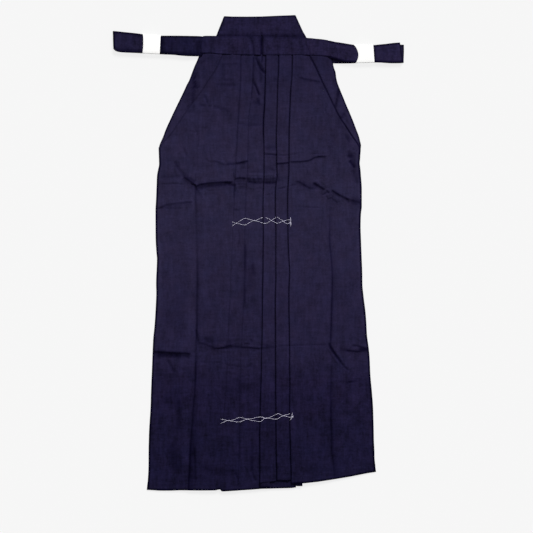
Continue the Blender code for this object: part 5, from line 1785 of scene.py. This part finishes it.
def ribbon_grid(strap, laps, first, inner, outer, thick, seed, field, edge,
                turn):
    """Centre surface of a strap folded to and fro, laps long.

    first is "top" or "low", the lap that leaves the waist; inner and outer
    are the distances along the strap of its inner and outer folds. The
    rims of painted shade are edge and turn wide along the edges and at the
    folds.
    """
    v = np.array([0, 0.02, 0.042, 0.07, 0.13, 0.23, 0.34, 0.45, 0.56, 0.67,
                  0.78, 0.87, 0.93, 0.958, 0.98, 1.0])
    # sample places: (distance, layer as a fraction, turn offset in x)
    where, layer, push, lap_of = [], [], [], []
    for k in range(laps):
        start = 0.0 if k == 0 else (inner[k // 2 - 1] if k % 2 == 0
                                    else outer[k // 2])
        if k % 2 == 0:
            stop = outer[min(k // 2, len(outer) - 1)]
        else:
            stop = inner[k // 2]
        span = stop - start
        n = max(6, int(abs(span) / 4.0))
        places = [start + span * j / n for j in range(n + 1)]
        for near in (2.6, 1.8, 1.0):             # close up to the folds
            places.append(stop - math.copysign(near, span))
            if k:
                places.append(start + math.copysign(near, span))
        for at in sorted(places, reverse=span < 0):
            where.append(at)
            layer.append(k)
            push.append(0.0)
            lap_of.append(k)
        if k < laps - 1:
            direction = 1 if k % 2 == 0 else -1
            for j in range(1, 6):
                a = math.pi * j / 6
                where.append(stop)
                layer.append(k + 0.5 - 0.5 * math.cos(a))
                push.append(direction * math.sin(a))
                lap_of.append(k + 0.5)
    where, layer = np.array(where), np.array(layer)
    push, lap_of = np.array(push), np.array(lap_of)
    xu, xl, yu, yl, z0, z1 = strap.at(where)
    pitch = (z1 - z0) / laps
    frac = (layer + 0.5) / laps
    if first == "top":
        frac = 1 - frac
    z = z0 + (z1 - z0) * frac
    shift = np.array([0.55 * math.sin(k * 2.4 + seed) for k in
                      np.arange(0, laps + 0.5, 0.5)])
    sh = shift[(lap_of * 2).astype(int)]
    near_waist = ease((where - 20) / 40)
    sh = sh * near_waist * (lap_of > 0.4)
    x = xu[:, None] + (xl - xu)[:, None] * v[None, :]
    y = yu[:, None] + (yl - yu)[:, None] * v[None, :] + sh[:, None]
    inset = np.where(lap_of > 0.4, 0.25, 0.0)[:, None]
    y = y + inset * (2 * v[None, :] - 1)
    x = x + strap.out * (push * pitch * 0.5)[:, None]
    x = x + 0.5 * noise(lap_of[:, None] * 31 + 0 * x, y, 16, seed + 3) \
        * (np.abs(push) > 0)[:, None]
    rise = frac[:, None] * (field(x, y) + 0.10 * noise(x, y * 1.3, 26, seed))
    crown = -0.16 * (2 * np.abs(v - 0.5)) ** 6
    zz = z[:, None] + rise + crown[None, :] * frac[:, None]
    zz = np.maximum(zz, thick / 2 + 0.01)
    # painted shade along both edges and at the outer folds
    wide = np.hypot(xl - xu, yl - yu)[:, None]
    rim = np.exp(-(np.minimum(v, 1 - v)[None, :] * wide / edge) ** 4)
    fold = np.zeros(len(where))
    for k in range(laps):
        mine = np.abs(lap_of - k) <= 0.5
        fold = np.where(mine, np.maximum(fold, np.exp(
            -((where[mine].max() - where) / turn) ** 4)), fold)
    # and painted shade where the edges of the paper lie across them
    paper_shade = 0.0
    for at in PAPER_EDGES:
        paper_shade = np.maximum(paper_shade, 0.94 * np.exp(-((x - at) / 2.0) ** 4))
    tone = 1 - (1 - 0.96 * rim) * (1 - 0.95 * fold[:, None]) \
        * (1 - paper_shade) * (1 - crease_tone(x, y, TIE_CREASES))
    return np.stack([x, y, zz], axis=2), tone


def tie_field(x, y):
    return creases(x, y, TIE_CREASES)


TIES = (
    # node, table, laps, first, inner folds, outer folds, seed, and how wide
    # the rims of painted shade are along the edges and at the folds
    ("back_tie_right", BACK_TIE_RIGHT, 4, "low", (44.0,), (229.6, 228.4), 1,
     4.4, 3.2),
    ("back_tie_left", BACK_TIE_LEFT, 4, "low", (52.2,), (213.2, 211.8), 2,
     3.9, 1.2),
    ("front_tie_right", FRONT_TIE_RIGHT, 7, "top", (30.0, 36.0, 33.0),
     (204.4, 202.6, 204.9, 203.4), 3, 4.4, 3.2),
    ("front_tie_left", FRONT_TIE_LEFT, 7, "top", (31.0, 36.0, 33.0),
     (177.8, 176.2, 177.5, 176.8), 4, 3.9, 1.9),
)
LAP_THICK = 0.62
# width and length of each strap as sewn, along all its laps
TIE_FLAT = {"back_tie_right": (0.042, 0.772), "back_tie_left": (0.040, 0.702),
            "front_tie_right": (0.043, 1.246), "front_tie_left": (0.041, 1.040)}
tie_obs = {}
for tie_node, table, laps, first, inner, outer, seed, edge, turn in TIES:
    if laps == 4:
        inner = (inner[0], inner[0] + 3.0)
    g, tone = ribbon_grid(Strap(table), laps, first, inner, outer, LAP_THICK,
                          seed, tie_field, edge, turn)
    half = np.full(g.shape[:2], LAP_THICK / 2)
    ob = shell(tie_node + "_cloth", g, half, 1, tone)
    lies_on = ["back_" + tie_node[6:]] if tie_node[:5] == "front" else []
    tie_obs[tie_node] = dress(
        ob, strap_cloth, "navy_cloth", tie_node,
        sheet=dict(flat=TIE_FLAT[tie_node], held="folded", rests_on=lies_on))


def ring_loft(name, rings, tone):
    """A closed form through rings (m, n, 3), with fans at both ends."""
    m, n = rings.shape[:2]
    tone = np.concatenate([tone.ravel(), [tone[0].mean(), tone[-1].mean()]])
    idx = np.arange(m * n).reshape(m, n)
    wrap = np.concatenate([idx, idx[:, :1]], axis=1)
    faces = [grid_faces(wrap)]
    c0, c1 = m * n, m * n + 1
    a, b = idx[0], np.roll(idx[0], -1)
    faces.append(np.stack([a, b, np.full(n, c0)], axis=1)[:, ::1])
    a, b = idx[-1], np.roll(idx[-1], -1)
    faces.append(np.stack([b, a, np.full(n, c1)], axis=1))
    verts = np.concatenate([rings.reshape(-1, 3),
                            rings[0].mean(axis=0)[None],
                            rings[-1].mean(axis=0)[None]])
    return write_mesh(name, verts, faces, tone=tone)


def band_field(x, y):
    h = creases(x, y, BAND_CREASES)
    h += 0.22 * noise(x * 1.5, y, 30, 11) + 0.12 * noise(x * 1.4, y, 13, 12)
    return h


def waistband():
    strap = Strap(WAISTBAND)
    n = 210
    s = np.linspace(0, strap.length, n)
    xu, xl, yu, yl, z0, z1 = strap.at(s)
    top, low, turn = 26, 10, 6
    rings = []
    ends = [(i, k) for i, k in ((0, 0.0), (0, 0.5), (0, 0.85))]
    for i in range(n):
        r = min(1.9, 0.48 * (z1[i] - z0[i]))
        ys_, zs = [], []
        for k in range(top):
            t = k / (top - 1)
            ys_.append(yu[i] - r + (yl[i] - yu[i] + 2 * r) * t)
            zs.append(z1[i])
        for k in range(1, turn):
            a = math.pi * k / turn
            ys_.append(yl[i] + r - r * math.sin(a))
            zs.append((z0[i] + z1[i]) / 2
                      + (z1[i] - z0[i]) / 2 * math.cos(a))
        for k in range(low):
            t = k / (low - 1)
            ys_.append(yl[i] + r + (yu[i] - yl[i] - 2 * r) * t)
            zs.append(z0[i])
        for k in range(1, turn):
            a = math.pi * k / turn
            ys_.append(yu[i] - r + r * math.sin(a))
            zs.append((z0[i] + z1[i]) / 2
                      - (z1[i] - z0[i]) / 2 * math.cos(a))
        ys_, zs = np.array(ys_), np.array(zs)
        slope = (xl[i] - xu[i]) / (yl[i] - yu[i])
        xs = xu[i] + slope * (ys_ - yu[i])
        rings.append(np.stack([xs, ys_, zs], axis=1))
    rings = np.array(rings)
    # painted shade along the band's seam below and its fold above
    x, y = rings[..., 0], rings[..., 1]
    tone = 1 - (1 - 0.58 * np.exp(-((yu[:, None] - y) / 3.4) ** 2)) \
        * (1 - 0.85 * np.exp(-((y - yl[:, None]) / 2.2) ** 4)) \
        * (1 - crease_tone(x, y, BAND_CREASES))
    mid = (z0 + z1)[:, None] / 2
    up = np.clip((rings[..., 2] - mid) / ((z1 - z0)[:, None] / 2), -1, 1)
    rings[..., 2] += (0.5 + 0.5 * up) * band_field(rings[..., 0],
                                                   rings[..., 1])
    # round the two ends
    for end, sign in ((0, -1), (-1, 1)):
        inner = rings[end].copy()
        centre = inner.mean(axis=0)
        extra = []
        for a in (0.45, 0.9, 1.25):
            ring = inner.copy()
            ring[:, 2] = centre[2] + (inner[:, 2] - centre[2]) * math.cos(a)
            grow = 0.9 * math.sin(a)
            ring[:, 0] += sign * grow
            extra.append(ring)
        # the rounded ends get painted shade too
        dark = np.maximum(tone[end], 0.45)[None].repeat(3, axis=0)
        if end == 0:
            rings = np.concatenate([np.array(extra[::-1]), rings])
            tone = np.concatenate([dark, tone])
        else:
            rings = np.concatenate([rings, np.array(extra)])
            tone = np.concatenate([tone, dark])
    return ring_loft("front_waistband_cloth", rings, tone)


band_ob = dress(waistband(), strap_cloth, "navy_cloth", "front_waistband",
                sheet=dict(flat=(0.043, 0.294), held="folded",
                           rests_on=["back_board", "front_panel_left_leg",
                                     "front_panel_right_leg"]))


BOARD = ((-112.8, 453.9), (-60.0, 451.6), (4.0, 450.6), (125.4, 450.6),
         (109.8, 488.4), (100.5, 504.6), (84.0, 540.8), (74.0, 540.2),
         (44.0, 539.2), (8.0, 537.5), (-28.0, 537.1), (-60.0, 537.3),
         (-78.3, 538.2), (-96.4, 492.4))
BOARD_CREASES = (
    ("groove", 0.9, 2.6, 0, 3, ((261.3, 31.6), (261.5, 38.0),
                                (261.6, 46.0)), 0.56, 2.6),
    ("ridge", 0.35, 6.0, 0, 5, ((258.0, 27.0), (262.0, 29.0),
                                (267.0, 27.6))),
    ("groove", 0.3, 3.4, 0, 5, ((226.6, 24.0), (227.6, 34.0))),
    ("groove", 0.25, 3.0, 0, 6, ((236.0, 24.4), (252.0, 23.6))),
    ("groove", 0.3, 4.0, 0, 5, ((294.0, 24.0), (297.6, 33.0))),
    ("groove", 0.25, 3.0, 0, 6, ((274.0, 30.0), (290.0, 31.2))),
)


def round_outline(points, radius, step):
    """The outline with its sharp corners rounded, evenly spaced."""
    pts = np.array(points, float)
    n = len(pts)
    out = []
    for i in range(n):
        a, b, c = pts[i - 1], pts[i], pts[(i + 1) % n]
        u, w = (a - b), (c - b)
        lu, lw = np.linalg.norm(u), np.linalg.norm(w)
        u, w = u / lu, w / lw
        turn = math.acos(np.clip(-(u @ w), -1, 1))
        if turn < 0.35:
            out.append(b)
            continue
        cut = min(radius * math.tan(turn / 2), 0.3 * lu, 0.3 * lw)
        p0, p1 = b + u * cut, b + w * cut
        for t in np.linspace(0, 1, 7):
            out.append((1 - t) ** 2 * p0 + 2 * t * (1 - t) * b + t * t * p1)
    out = np.array(out)
    closed = np.concatenate([out, out[:1]])
    d = np.concatenate([[0], np.cumsum(np.hypot(*np.diff(closed, axis=0).T))])
    m = int(d[-1] / step)
    q = np.linspace(0, d[-1], m, endpoint=False)
    return np.stack([np.interp(q, d, closed[:, 0]),
                     np.interp(q, d, closed[:, 1])], axis=1)


def board():
    outline = round_outline(BOARD, 2.2, 2.6)
    centre = np.array([3.0, 492.0])
    n = len(outline)
    nxt, prv = np.roll(outline, -1, axis=0), np.roll(outline, 1, axis=0)
    tang = nxt - prv
    tang /= np.linalg.norm(tang, axis=1, keepdims=True)
    normal = np.stack([tang[:, 1], -tang[:, 0]], axis=1)
    if ((outline - centre) * normal).sum() > 0:
        normal = -normal                       # points inwards
    thick, r = 4.0, 1.9
    rings = []
    # the edge, then inwards over the top and under the bottom
    steps = 24
    for k in range(steps, 0, -1):
        f = k / steps
        base = outline + normal * r
        ring = centre + (base - centre) * (1 - f)
        rings.append((ring, np.zeros(n)))
    for a in np.linspace(-90, 90, 9):
        ar = math.radians(a)
        inset = r * (1 - math.cos(ar))
        z = thick / 2 + thick / 2 * math.sin(ar)
        rings.append((outline + normal * inset, np.full(n, z)))
    for k in range(1, steps + 1):
        f = k / steps
        base = outline + normal * r
        ring = centre + (base - centre) * (1 - f)
        rings.append((ring, np.full(n, thick)))
    rings = rings[1:-1]
    ring3 = np.array([np.concatenate([xy, z[:, None]], axis=1)
                      for xy, z in rings])
    x, y, z = ring3[..., 0], ring3[..., 1], ring3[..., 2]
    lift = (creases(x, y, BOARD_CREASES) + 0.16 * noise(x * 1.2, y, 24, 15)
            + 0.10 * noise(x, y, 11, 16))
    # the stitched edge, a few millimetres in
    tri = np.abs(y - 0)
    edge = np.full(x.shape, 1e9)
    for i in range(len(BOARD)):
        p0, p1 = np.array(BOARD[i - 1]), np.array(BOARD[i])
        d = p1 - p0
        ln = np.hypot(*d)
        t = np.clip(((x - p0[0]) * d[0] + (y - p0[1]) * d[1]) / ln ** 2, 0, 1)
        edge = np.minimum(edge, np.hypot(x - p0[0] - t * d[0],
                                         y - p0[1] - t * d[1]))
    lift -= 0.22 * np.exp(-((edge - 4.2) / 1.1) ** 2)
    lift += 0.10 * ease((4.0 - edge) / 2.0)
    ring3[..., 2] = z + np.where(z > thick * 0.5, lift * ease(edge / 2.0), 0)
    # painted shade at its own edge, deepening towards the band across it
    tone = 1 - (1 - 0.97 * np.exp(-(edge / 3.1) ** 4)) \
        * (1 - 0.52 * ease((502.0 - y) / 9.0)) \
        * (1 - crease_tone(x, y, BOARD_CREASES))
    return ring_loft("back_board_cloth", ring3, tone)


board_ob = dress(board(), strap_cloth, "navy_cloth", "back_board",
                 sheet=dict(flat=(0.240, 0.091), held="stretched",
                            area=0.0180))


# ------------------------------------------------------------- paper bands
def paper_band(name, rows, top, seed, bulge, lean):
    """A strip of white paper wound once round the folded ties.

    bulge is how far the cloth swells out over its first edge, and lean is
    how much the first and last edges slant, in X for each unit of Y.
    """
    t = np.array(rows, float)
    n = 16
    xs = np.interp(np.linspace(0, len(t) - 1, n), np.arange(len(t)), t[:, 0])
    grid = []
    for x in xs:
        up = np.interp(x, t[np.argsort(t[:, 0]), 0], t[np.argsort(t[:, 0]), 1])
        low = np.interp(x, t[np.argsort(t[:, 0]), 0],
                        t[np.argsort(t[:, 0]), 2])
        wav = 0.35 * noise(np.array(x), np.array(0.0), 14, seed)
        up, low = up + 0.6 * wav, low + 0.5 * wav
        loop = []
        mid = (up + low) / 2
        part = (x - xs[0]) / (xs[-1] - xs[0])
        r = 1.5
        # starts under the bundle, goes once round and overlaps below
        zb, zt = 0.50, top
        y0 = mid + 7.0
        for k in range(7):
            loop.append((y0 + (low + r - y0) * k / 7, zb))
        for k in range(7):
            a = math.pi / 2 * k / 6
            loop.append((low + r - r * math.sin(a), zb + r - r * math.cos(a)))
        for k in range(7):
            a = math.pi / 2 * k / 6
            loop.append((low + r - r * math.cos(a), zt - r + r * math.sin(a)))
        for k in range(1, 14):
            y = low + r + (up - low - 2 * r) * k / 14
            loop.append((y, zt + 0.35 * math.sin(math.pi * k / 14)
                         + 0.12 * float(noise(np.array(x), np.array(y), 12,
                                              seed))))
        for k in range(7):
            a = math.pi / 2 * k / 6
            loop.append((up - r + r * math.sin(a), zt - r + r * math.cos(a)))
        za = 0.16
        for k in range(7):
            a = math.pi / 2 * k / 6
            loop.append((up - r + r * math.cos(a), za + r - r * math.sin(a)))
        for k in range(1, 8):
            loop.append((up - r + (mid - 8.0 - up + r) * k / 7, za))
        slant = lean[0] * (1 - part) + lean[1] * part
        grid.append([(x + slant * (y - mid) + bulge * (1 - part) ** 2 * max(
            0.0, math.sin(math.pi * (y - low) / (up - low))) ** 0.7, y, z)
            for y, z in loop])
    g = np.array(grid)
    return shell(name, g, np.full(g.shape[:2], 0.13), 1)


PAPER_RIGHT = ((-262.8, 497.2, 453.4), (-242.0, 495.4, 452.4),
               (-223.0, 493.8, 451.4))
PAPER_LEFT = ((218.0, 472.6, 431.4), (240.0, 472.3, 432.0),
              (261.7, 472.6, 432.6))
paper_right = dress(paper_band("paper_band_right_strip", PAPER_RIGHT, 9.75,
                               31, 1.6, (0.02, 0.055)), paper, "white_paper", "paper_band_right",
                    sheet=dict(flat=(0.039, 0.119), held="folded",
                               rests_on=["front_tie_right",
                                         "back_tie_right"]))
paper_left = dress(paper_band("paper_band_left_strip", PAPER_LEFT, 9.75, 32,
                              8.6, (-0.10, -0.07)),
                   paper, "white_paper", "paper_band_left",
                   sheet=dict(flat=(0.040, 0.110), held="folded",
                              rests_on=["front_tie_left", "back_tie_left"]))


# ------------------------------------------------------ threads on the cloth
from mathutils.bvhtree import BVHTree


class Ground:
    """Height of the pieces under a point, seen from above."""

    def __init__(self, obs):
        self.trees = []
        for ob in obs:
            me = ob.data
            co = np.empty(len(me.vertices) * 3, np.float32)
            me.vertices.foreach_get("co", co)
            co = co.reshape(-1, 3) / MM
            polys = [tuple(p.vertices) for p in me.polygons]
            self.trees.append(BVHTree.FromPolygons(co.tolist(), polys))

    def at(self, x, y):
        best, normal = 0.0, Vector((0, 0, 1))
        for tree in self.trees:
            hit, n, _, _ = tree.ray_cast(Vector((x, y, 60)),
                                         Vector((0, 0, -1)))
            if hit is not None and hit.z > best:
                best, normal = hit.z, n if n.z > 0 else -n
        return best, normal


ground = Ground([front_left_ob, front_right_ob])


def tube(points, radius, sides=6):
    """Verts and faces of a thin tube along points, with pointed ends."""
    p = np.asarray(points, float)
    n = len(p)
    radius = np.broadcast_to(radius, (n,))
    t = np.gradient(p, axis=0)
    t /= np.maximum(np.linalg.norm(t, axis=1, keepdims=True), 1e-9)
    up = np.array([0.0, 0.0, 1.0])
    a = np.cross(t, up)
    la = np.linalg.norm(a, axis=1, keepdims=True)
    a = np.where(la > 1e-3, a / np.maximum(la, 1e-9), np.array([1.0, 0, 0]))
    b = np.cross(a, t)
    ang = np.arange(sides) * 2 * math.pi / sides
    ring = (p[:, None, :] + radius[:, None, None]
            * (np.cos(ang)[None, :, None] * a[:, None, :]
               + np.sin(ang)[None, :, None] * b[:, None, :]))
    verts = np.concatenate([ring.reshape(-1, 3), p[:1] - t[:1] * radius[0],
                            p[-1:] + t[-1:] * radius[-1]])
    idx = np.arange(n * sides).reshape(n, sides)
    wrap = np.concatenate([idx, idx[:, :1]], axis=1)
    i0, i1 = idx[0], np.roll(idx[0], -1)
    j0, j1 = idx[-1], np.roll(idx[-1], -1)
    faces = [grid_faces(wrap),
             np.stack([i0, i1, np.full(sides, n * sides)], axis=1),
             np.stack([j1, j0, np.full(sides, n * sides + 1)], axis=1)]
    return verts, faces


def smooth_line(px_points, step=0.7):
    """A rounded line through picture points, in millimetres."""
    p = np.array([(float(mx(a)), float(my(b))) for a, b in px_points])
    q = np.concatenate([[2 * p[0] - p[1]], p, [2 * p[-1] - p[-2]]])
    out = []
    for i in range(1, len(q) - 2):
        p0, p1, p2, p3 = q[i - 1], q[i], q[i + 1], q[i + 2]
        n = max(2, int(np.hypot(*(p2 - p1)) / step))
        for k in range(n):
            s = k / n
            cr = 0.5 * ((2 * p1) + (-p0 + p2) * s
                        + (2 * p0 - 5 * p1 + 4 * p2 - p3) * s * s
                        + (-p0 + 3 * p1 - 3 * p2 + p3) * s ** 3)
            lin = p1 + (p2 - p1) * s
            out.append(0.45 * cr + 0.55 * lin)
    out.append(q[-2])
    return np.array(out)


def strand(px_points, dive=(True, True), over=0.0, width=0.32, seed=0):
    """Two plies twisted round each other, lying taut on the pleats."""
    line = smooth_line(px_points)
    z = np.array([ground.at(x, y)[0] for x, y in line])
    n = len(line)
    # taut: never below the running top of what it crosses
    reach = 9
    top = np.array([z[max(0, i - reach):i + reach + 1].max()
                    for i in range(n)])
    k = np.hanning(2 * reach + 1)
    k /= k.sum()
    top = np.convolve(np.pad(top, reach, mode="edge"), k, mode="valid")
    z = np.maximum(z, top - 0.15) + width * 0.85 + 0.35 + over
    d = np.concatenate([[0], np.cumsum(np.hypot(*np.diff(line, axis=0).T))])
    if dive[0]:
        z = z - 2.4 * ease(1 - d / 2.0)
    if dive[1]:
        z = z - 2.4 * ease(1 - (d[-1] - d) / 2.0)
    c = np.concatenate([line, z[:, None]], axis=1)
    t = np.gradient(c, axis=0)
    t /= np.linalg.norm(t, axis=1, keepdims=True)
    a = np.cross(t, [0, 0, 1.0])
    a /= np.linalg.norm(a, axis=1, keepdims=True)
    b = np.cross(a, t)
    out = []
    for ply in range(2):
        ph = d * 2 * math.pi / 2.6 + ply * math.pi + seed
        off = 0.40 * width * (np.cos(ph)[:, None] * a
                              + np.sin(ph)[:, None] * b)
        out.append(tube(c + off, 0.54 * width, 6))
    return out


def hump(points3, width=0.30):
    """A short strand through 3-D points (picture x, picture y, height)."""
    p = np.array([(float(mx(a)), float(my(b)), h) for a, b, h in points3])
    t = np.linspace(0, len(p) - 1, 14)
    q = np.stack([np.interp(t, np.arange(len(p)), p[:, i]) for i in range(3)],
                 axis=1)
    q[1:-1] = 0.25 * q[:-2] + 0.5 * q[1:-1] + 0.25 * q[2:]
    base = np.array([ground.at(x, y)[0] for x, y, _ in q])
    q[:, 2] = base + q[:, 2]
    return tube(q, width, 7)


# Two rows of crossed white basting over the pleats, in the picture.
UPPER_BASTING = (
    ((231.8, 226.2), (236.4, 223.2), (244.6, 218.3), (251.8, 220),
     (257.5, 221.4), (265.7, 223.6), (271.4, 220.4), (276.2, 217.4)),
    ((277.0, 216.8), (282.4, 220.7), (286.7, 223.6), (289.8, 223.3)),
    ((231.6, 221.8), (236.4, 223.2), (243.2, 224.9), (245.6, 224.8),
     (251.8, 221.4), (255.6, 220.5), (263.3, 217.1)),
    ((265.4, 217.1), (271.4, 220.4), (277.2, 223.3), (282.4, 221.6),
     (287.2, 220), (290.3, 219.7)),
)
LOWER_BASTING = (
    ((220, 423.8), (226.9, 420.7), (233.2, 419.9), (239.6, 417.2),
     (246.4, 418.9), (252.2, 420.4), (260.6, 421.5), (263.4, 419.2),
     (266.0, 417.8)),
    ((264.0, 418.4), (269.4, 417.3), (278, 413.5), (283.8, 415.6),
     (290, 417.2), (292.0, 416.8)),
    ((220, 418.8), (226.9, 420.2), (236.7, 421.8), (240.7, 421.6),
     (246.4, 419.2), (252.2, 418.4), (259.6, 416.8), (262.6, 417.0),
     (265.2, 418.2)),
    ((262.8, 417.6), (265.4, 418.2), (269.4, 418.4), (276.9, 419.1),
     (280.9, 416.4), (283.8, 415.6), (290, 413.4)),
)


def basting(name, lines, knot):
    parts = []
    for i, pts in enumerate(lines):
        parts += strand(pts, over=0.5 * (i % 2), seed=i * 1.3)
    for pts in knot:
        parts.append(hump(pts))
    ob = merge(name, parts)
    ob.data.materials.append(white_thread)
    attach(ob, "root")
    return ob


basting("basting_upper", UPPER_BASTING, (
    ((290.4, 217.2, 0.4), (290.6, 219.6, 0.7), (290.6, 221.6, 1.2)),
    ((290.7, 226.2, 0.4), (290.6, 224.6, 0.9), (290.2, 222.6, 1.2)),
    ((291.1, 225.0, 0.5), (291.0, 223.6, 0.9), (290.6, 222.0, 1.0)),
    ((289.4, 222.2, 0.6), (290.1, 222.9, 1.6), (291.2, 223.2, 0.7)),
    ((289.6, 223.6, 0.7), (290.4, 222.4, 1.9), (291.0, 221.8, 0.7)),
))
basting("basting_lower", LOWER_BASTING, (
    ((292.2, 412.6, 0.4), (292.0, 414.6, 0.8), (292.2, 416.2, 1.2)),
    ((289.8, 420.4, 0.4), (291.0, 418.6, 0.8), (292.2, 417.0, 1.2)),
    ((291.2, 416.2, 0.6), (292.4, 416.8, 1.7), (293.4, 417.2, 0.7)),
    ((291.6, 417.6, 0.7), (292.6, 416.4, 1.9), (293.2, 415.8, 0.7)),
))


# ---------------------------------------------------------------- stitching
def stitches_along(points, normals, pitch=3.4, long=2.3, radius=0.13):
    """Short raised stitches at even distances along a line on the cloth."""
    p = np.asarray(points, float)
    seg = np.linalg.norm(np.diff(p, axis=0), axis=1)
    d = np.concatenate([[0], np.cumsum(seg)])
    parts = []
    count = int(d[-1] / pitch)
    for k in range(count):
        q = (k + 0.5) * pitch + np.array([-0.5, -0.2, 0.2, 0.5]) * long
        if q[0] < 0 or q[-1] > d[-1]:
            continue
        c = np.stack([np.interp(q, d, p[:, i]) for i in range(3)], axis=1)
        nn = np.stack([np.interp(q, d, normals[:, i]) for i in range(3)],
                      axis=1)
        nn /= np.linalg.norm(nn, axis=1, keepdims=True)
        lift = np.array([-0.10, 0.04, 0.04, -0.10])[:, None]
        parts.append(tube(c + nn * lift, radius, 4))
    return parts


def hem_line(grid, half, sign, depth):
    """The line at a distance above the hem on one side of a panel."""
    n = grid_normals(grid) * sign
    rows = grid.shape[0]
    y = grid[..., 1]
    pts, nor = [], []
    for c in range(grid.shape[1]):
        target = y[-1, c] + depth
        r = rows - 1
        while r > 1 and y[r, c] < target:
            r -= 1
        f = (target - y[r, c]) / (y[r + 1, c] - y[r, c])
        q = grid[r, c] * (1 - f) + grid[r + 1, c] * f
        m = n[r, c] * (1 - f) + n[r + 1, c] * f
        h = half[r, c] * (1 - f) + half[r + 1, c] * f
        pts.append(q + m * h)
        nor.append(m)
    return np.array(pts), np.array(nor)


def slit_line(grid, half, sign, inset, y_low):
    """The line a little inside the free side edge, above the seam."""
    n = grid_normals(grid) * sign
    pts, nor = [], []
    for r in range(grid.shape[0]):
        if grid[r, -1, 1] < y_low or grid[r, -1, 1] > 444:
            continue
        edge = grid[r, -1, 0]
        d = np.abs(edge - grid[r, :, 0])
        k = grid.shape[1] - 1
        while k > 1 and d[k] < inset:
            k -= 1
        f = (inset - d[k + 1]) / max(d[k] - d[k + 1], 1e-6)
        q = grid[r, k + 1] * (1 - f) + grid[r, k] * f
        m = n[r, k + 1]
        pts.append(q + m * half[r, k])
        nor.append(m)
    return np.array(pts), np.array(nor)


parts = []
for grid, half, sign in ((fl_grid, fl_half, -1), (fr_grid, fr_half, 1)):
    parts += stitches_along(*hem_line(grid, half, sign, 17.6), pitch=4.6)
    parts += stitches_along(*slit_line(grid, half, sign, 7.0, 228.0))
seams = merge("seam_stitches_front", parts)
seams.data.materials.append(navy_thread)
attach(seams, "root")
parts = []
for grid, half, sign in ((bl_grid, bl_half, 1), (br_grid, br_half, -1)):
    parts += stitches_along(*hem_line(grid, half, -sign, 17.6), pitch=4.6)
    parts += stitches_along(*slit_line(grid, half, sign, 7.0, 228.0))
seams_back = merge("seam_stitches_back", parts)
seams_back.data.materials.append(navy_thread)
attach(seams_back, "root")


# ------------------------------------------------------ stage, light, camera
def stage():
    scene = bpy.context.scene
    mesh = bpy.data.meshes.new("floor")
    s = 16.0
    mesh.from_pydata([(-s, -s, 0), (s, -s, 0), (s, s, 0), (-s, s, 0)], [],
                     [(0, 1, 2, 3)])
    floor = bpy.data.objects.new("floor", mesh)
    floor.location = (0, 0, -0.0004)
    scene.collection.objects.link(floor)
    mat, tree, bsdf = nodes_of("pale_floor")
    # pale and lit from below, as a light table, so shadows stay faint
    bsdf.inputs["Base Color"].default_value = (0.11, 0.11, 0.11, 1)
    bsdf.inputs["Emission Color"].default_value = (1, 1, 1, 1)
    bsdf.inputs["Emission Strength"].default_value = 0.802
    bsdf.inputs["Roughness"].default_value = 0.95
    bsdf.inputs["Specular IOR Level"].default_value = 0.0
    mesh.materials.append(mat)
    world = bpy.data.worlds.new("studio")
    scene.world = world
    world.use_nodes = True
    bg = world.node_tree.nodes["Background"]
    bg.inputs[0].default_value = (1, 1, 1, 1)
    bg.inputs[1].default_value = 0.34
    sun = bpy.data.lights.new("key", "SUN")
    sun.energy = 3.70
    sun.angle = math.radians(22)
    key = bpy.data.objects.new("key", sun)
    toward = Vector((0.30, 0.70, 0.65))
    key.rotation_euler = toward.to_track_quat("Z", "Y").to_euler()
    scene.collection.objects.link(key)
    cam_data = bpy.data.cameras.new("camera")
    cam = bpy.data.objects.new("camera", cam_data)
    scene.collection.objects.link(cam)
    # straight down, with a long lens: the 533-pixel frame is 1.210 m wide
    wide = 533 * PX * MM
    cam_data.sensor_width = 36.0
    cam_data.lens = 180.0
    dist = wide * cam_data.lens / cam_data.sensor_width
    cam.location = (float(mx(266.5)) * MM, float(my(266.5)) * MM,
                    dist + 0.005)
    cam.rotation_euler = (0, 0, 0)
    cam_data.clip_end = 50.0
    scene.camera = cam
    scene.view_settings.view_transform = "Standard"
    scene.view_settings.look = "None"
    scene.view_settings.exposure = 0.0
    scene.view_settings.gamma = 1.0


stage()
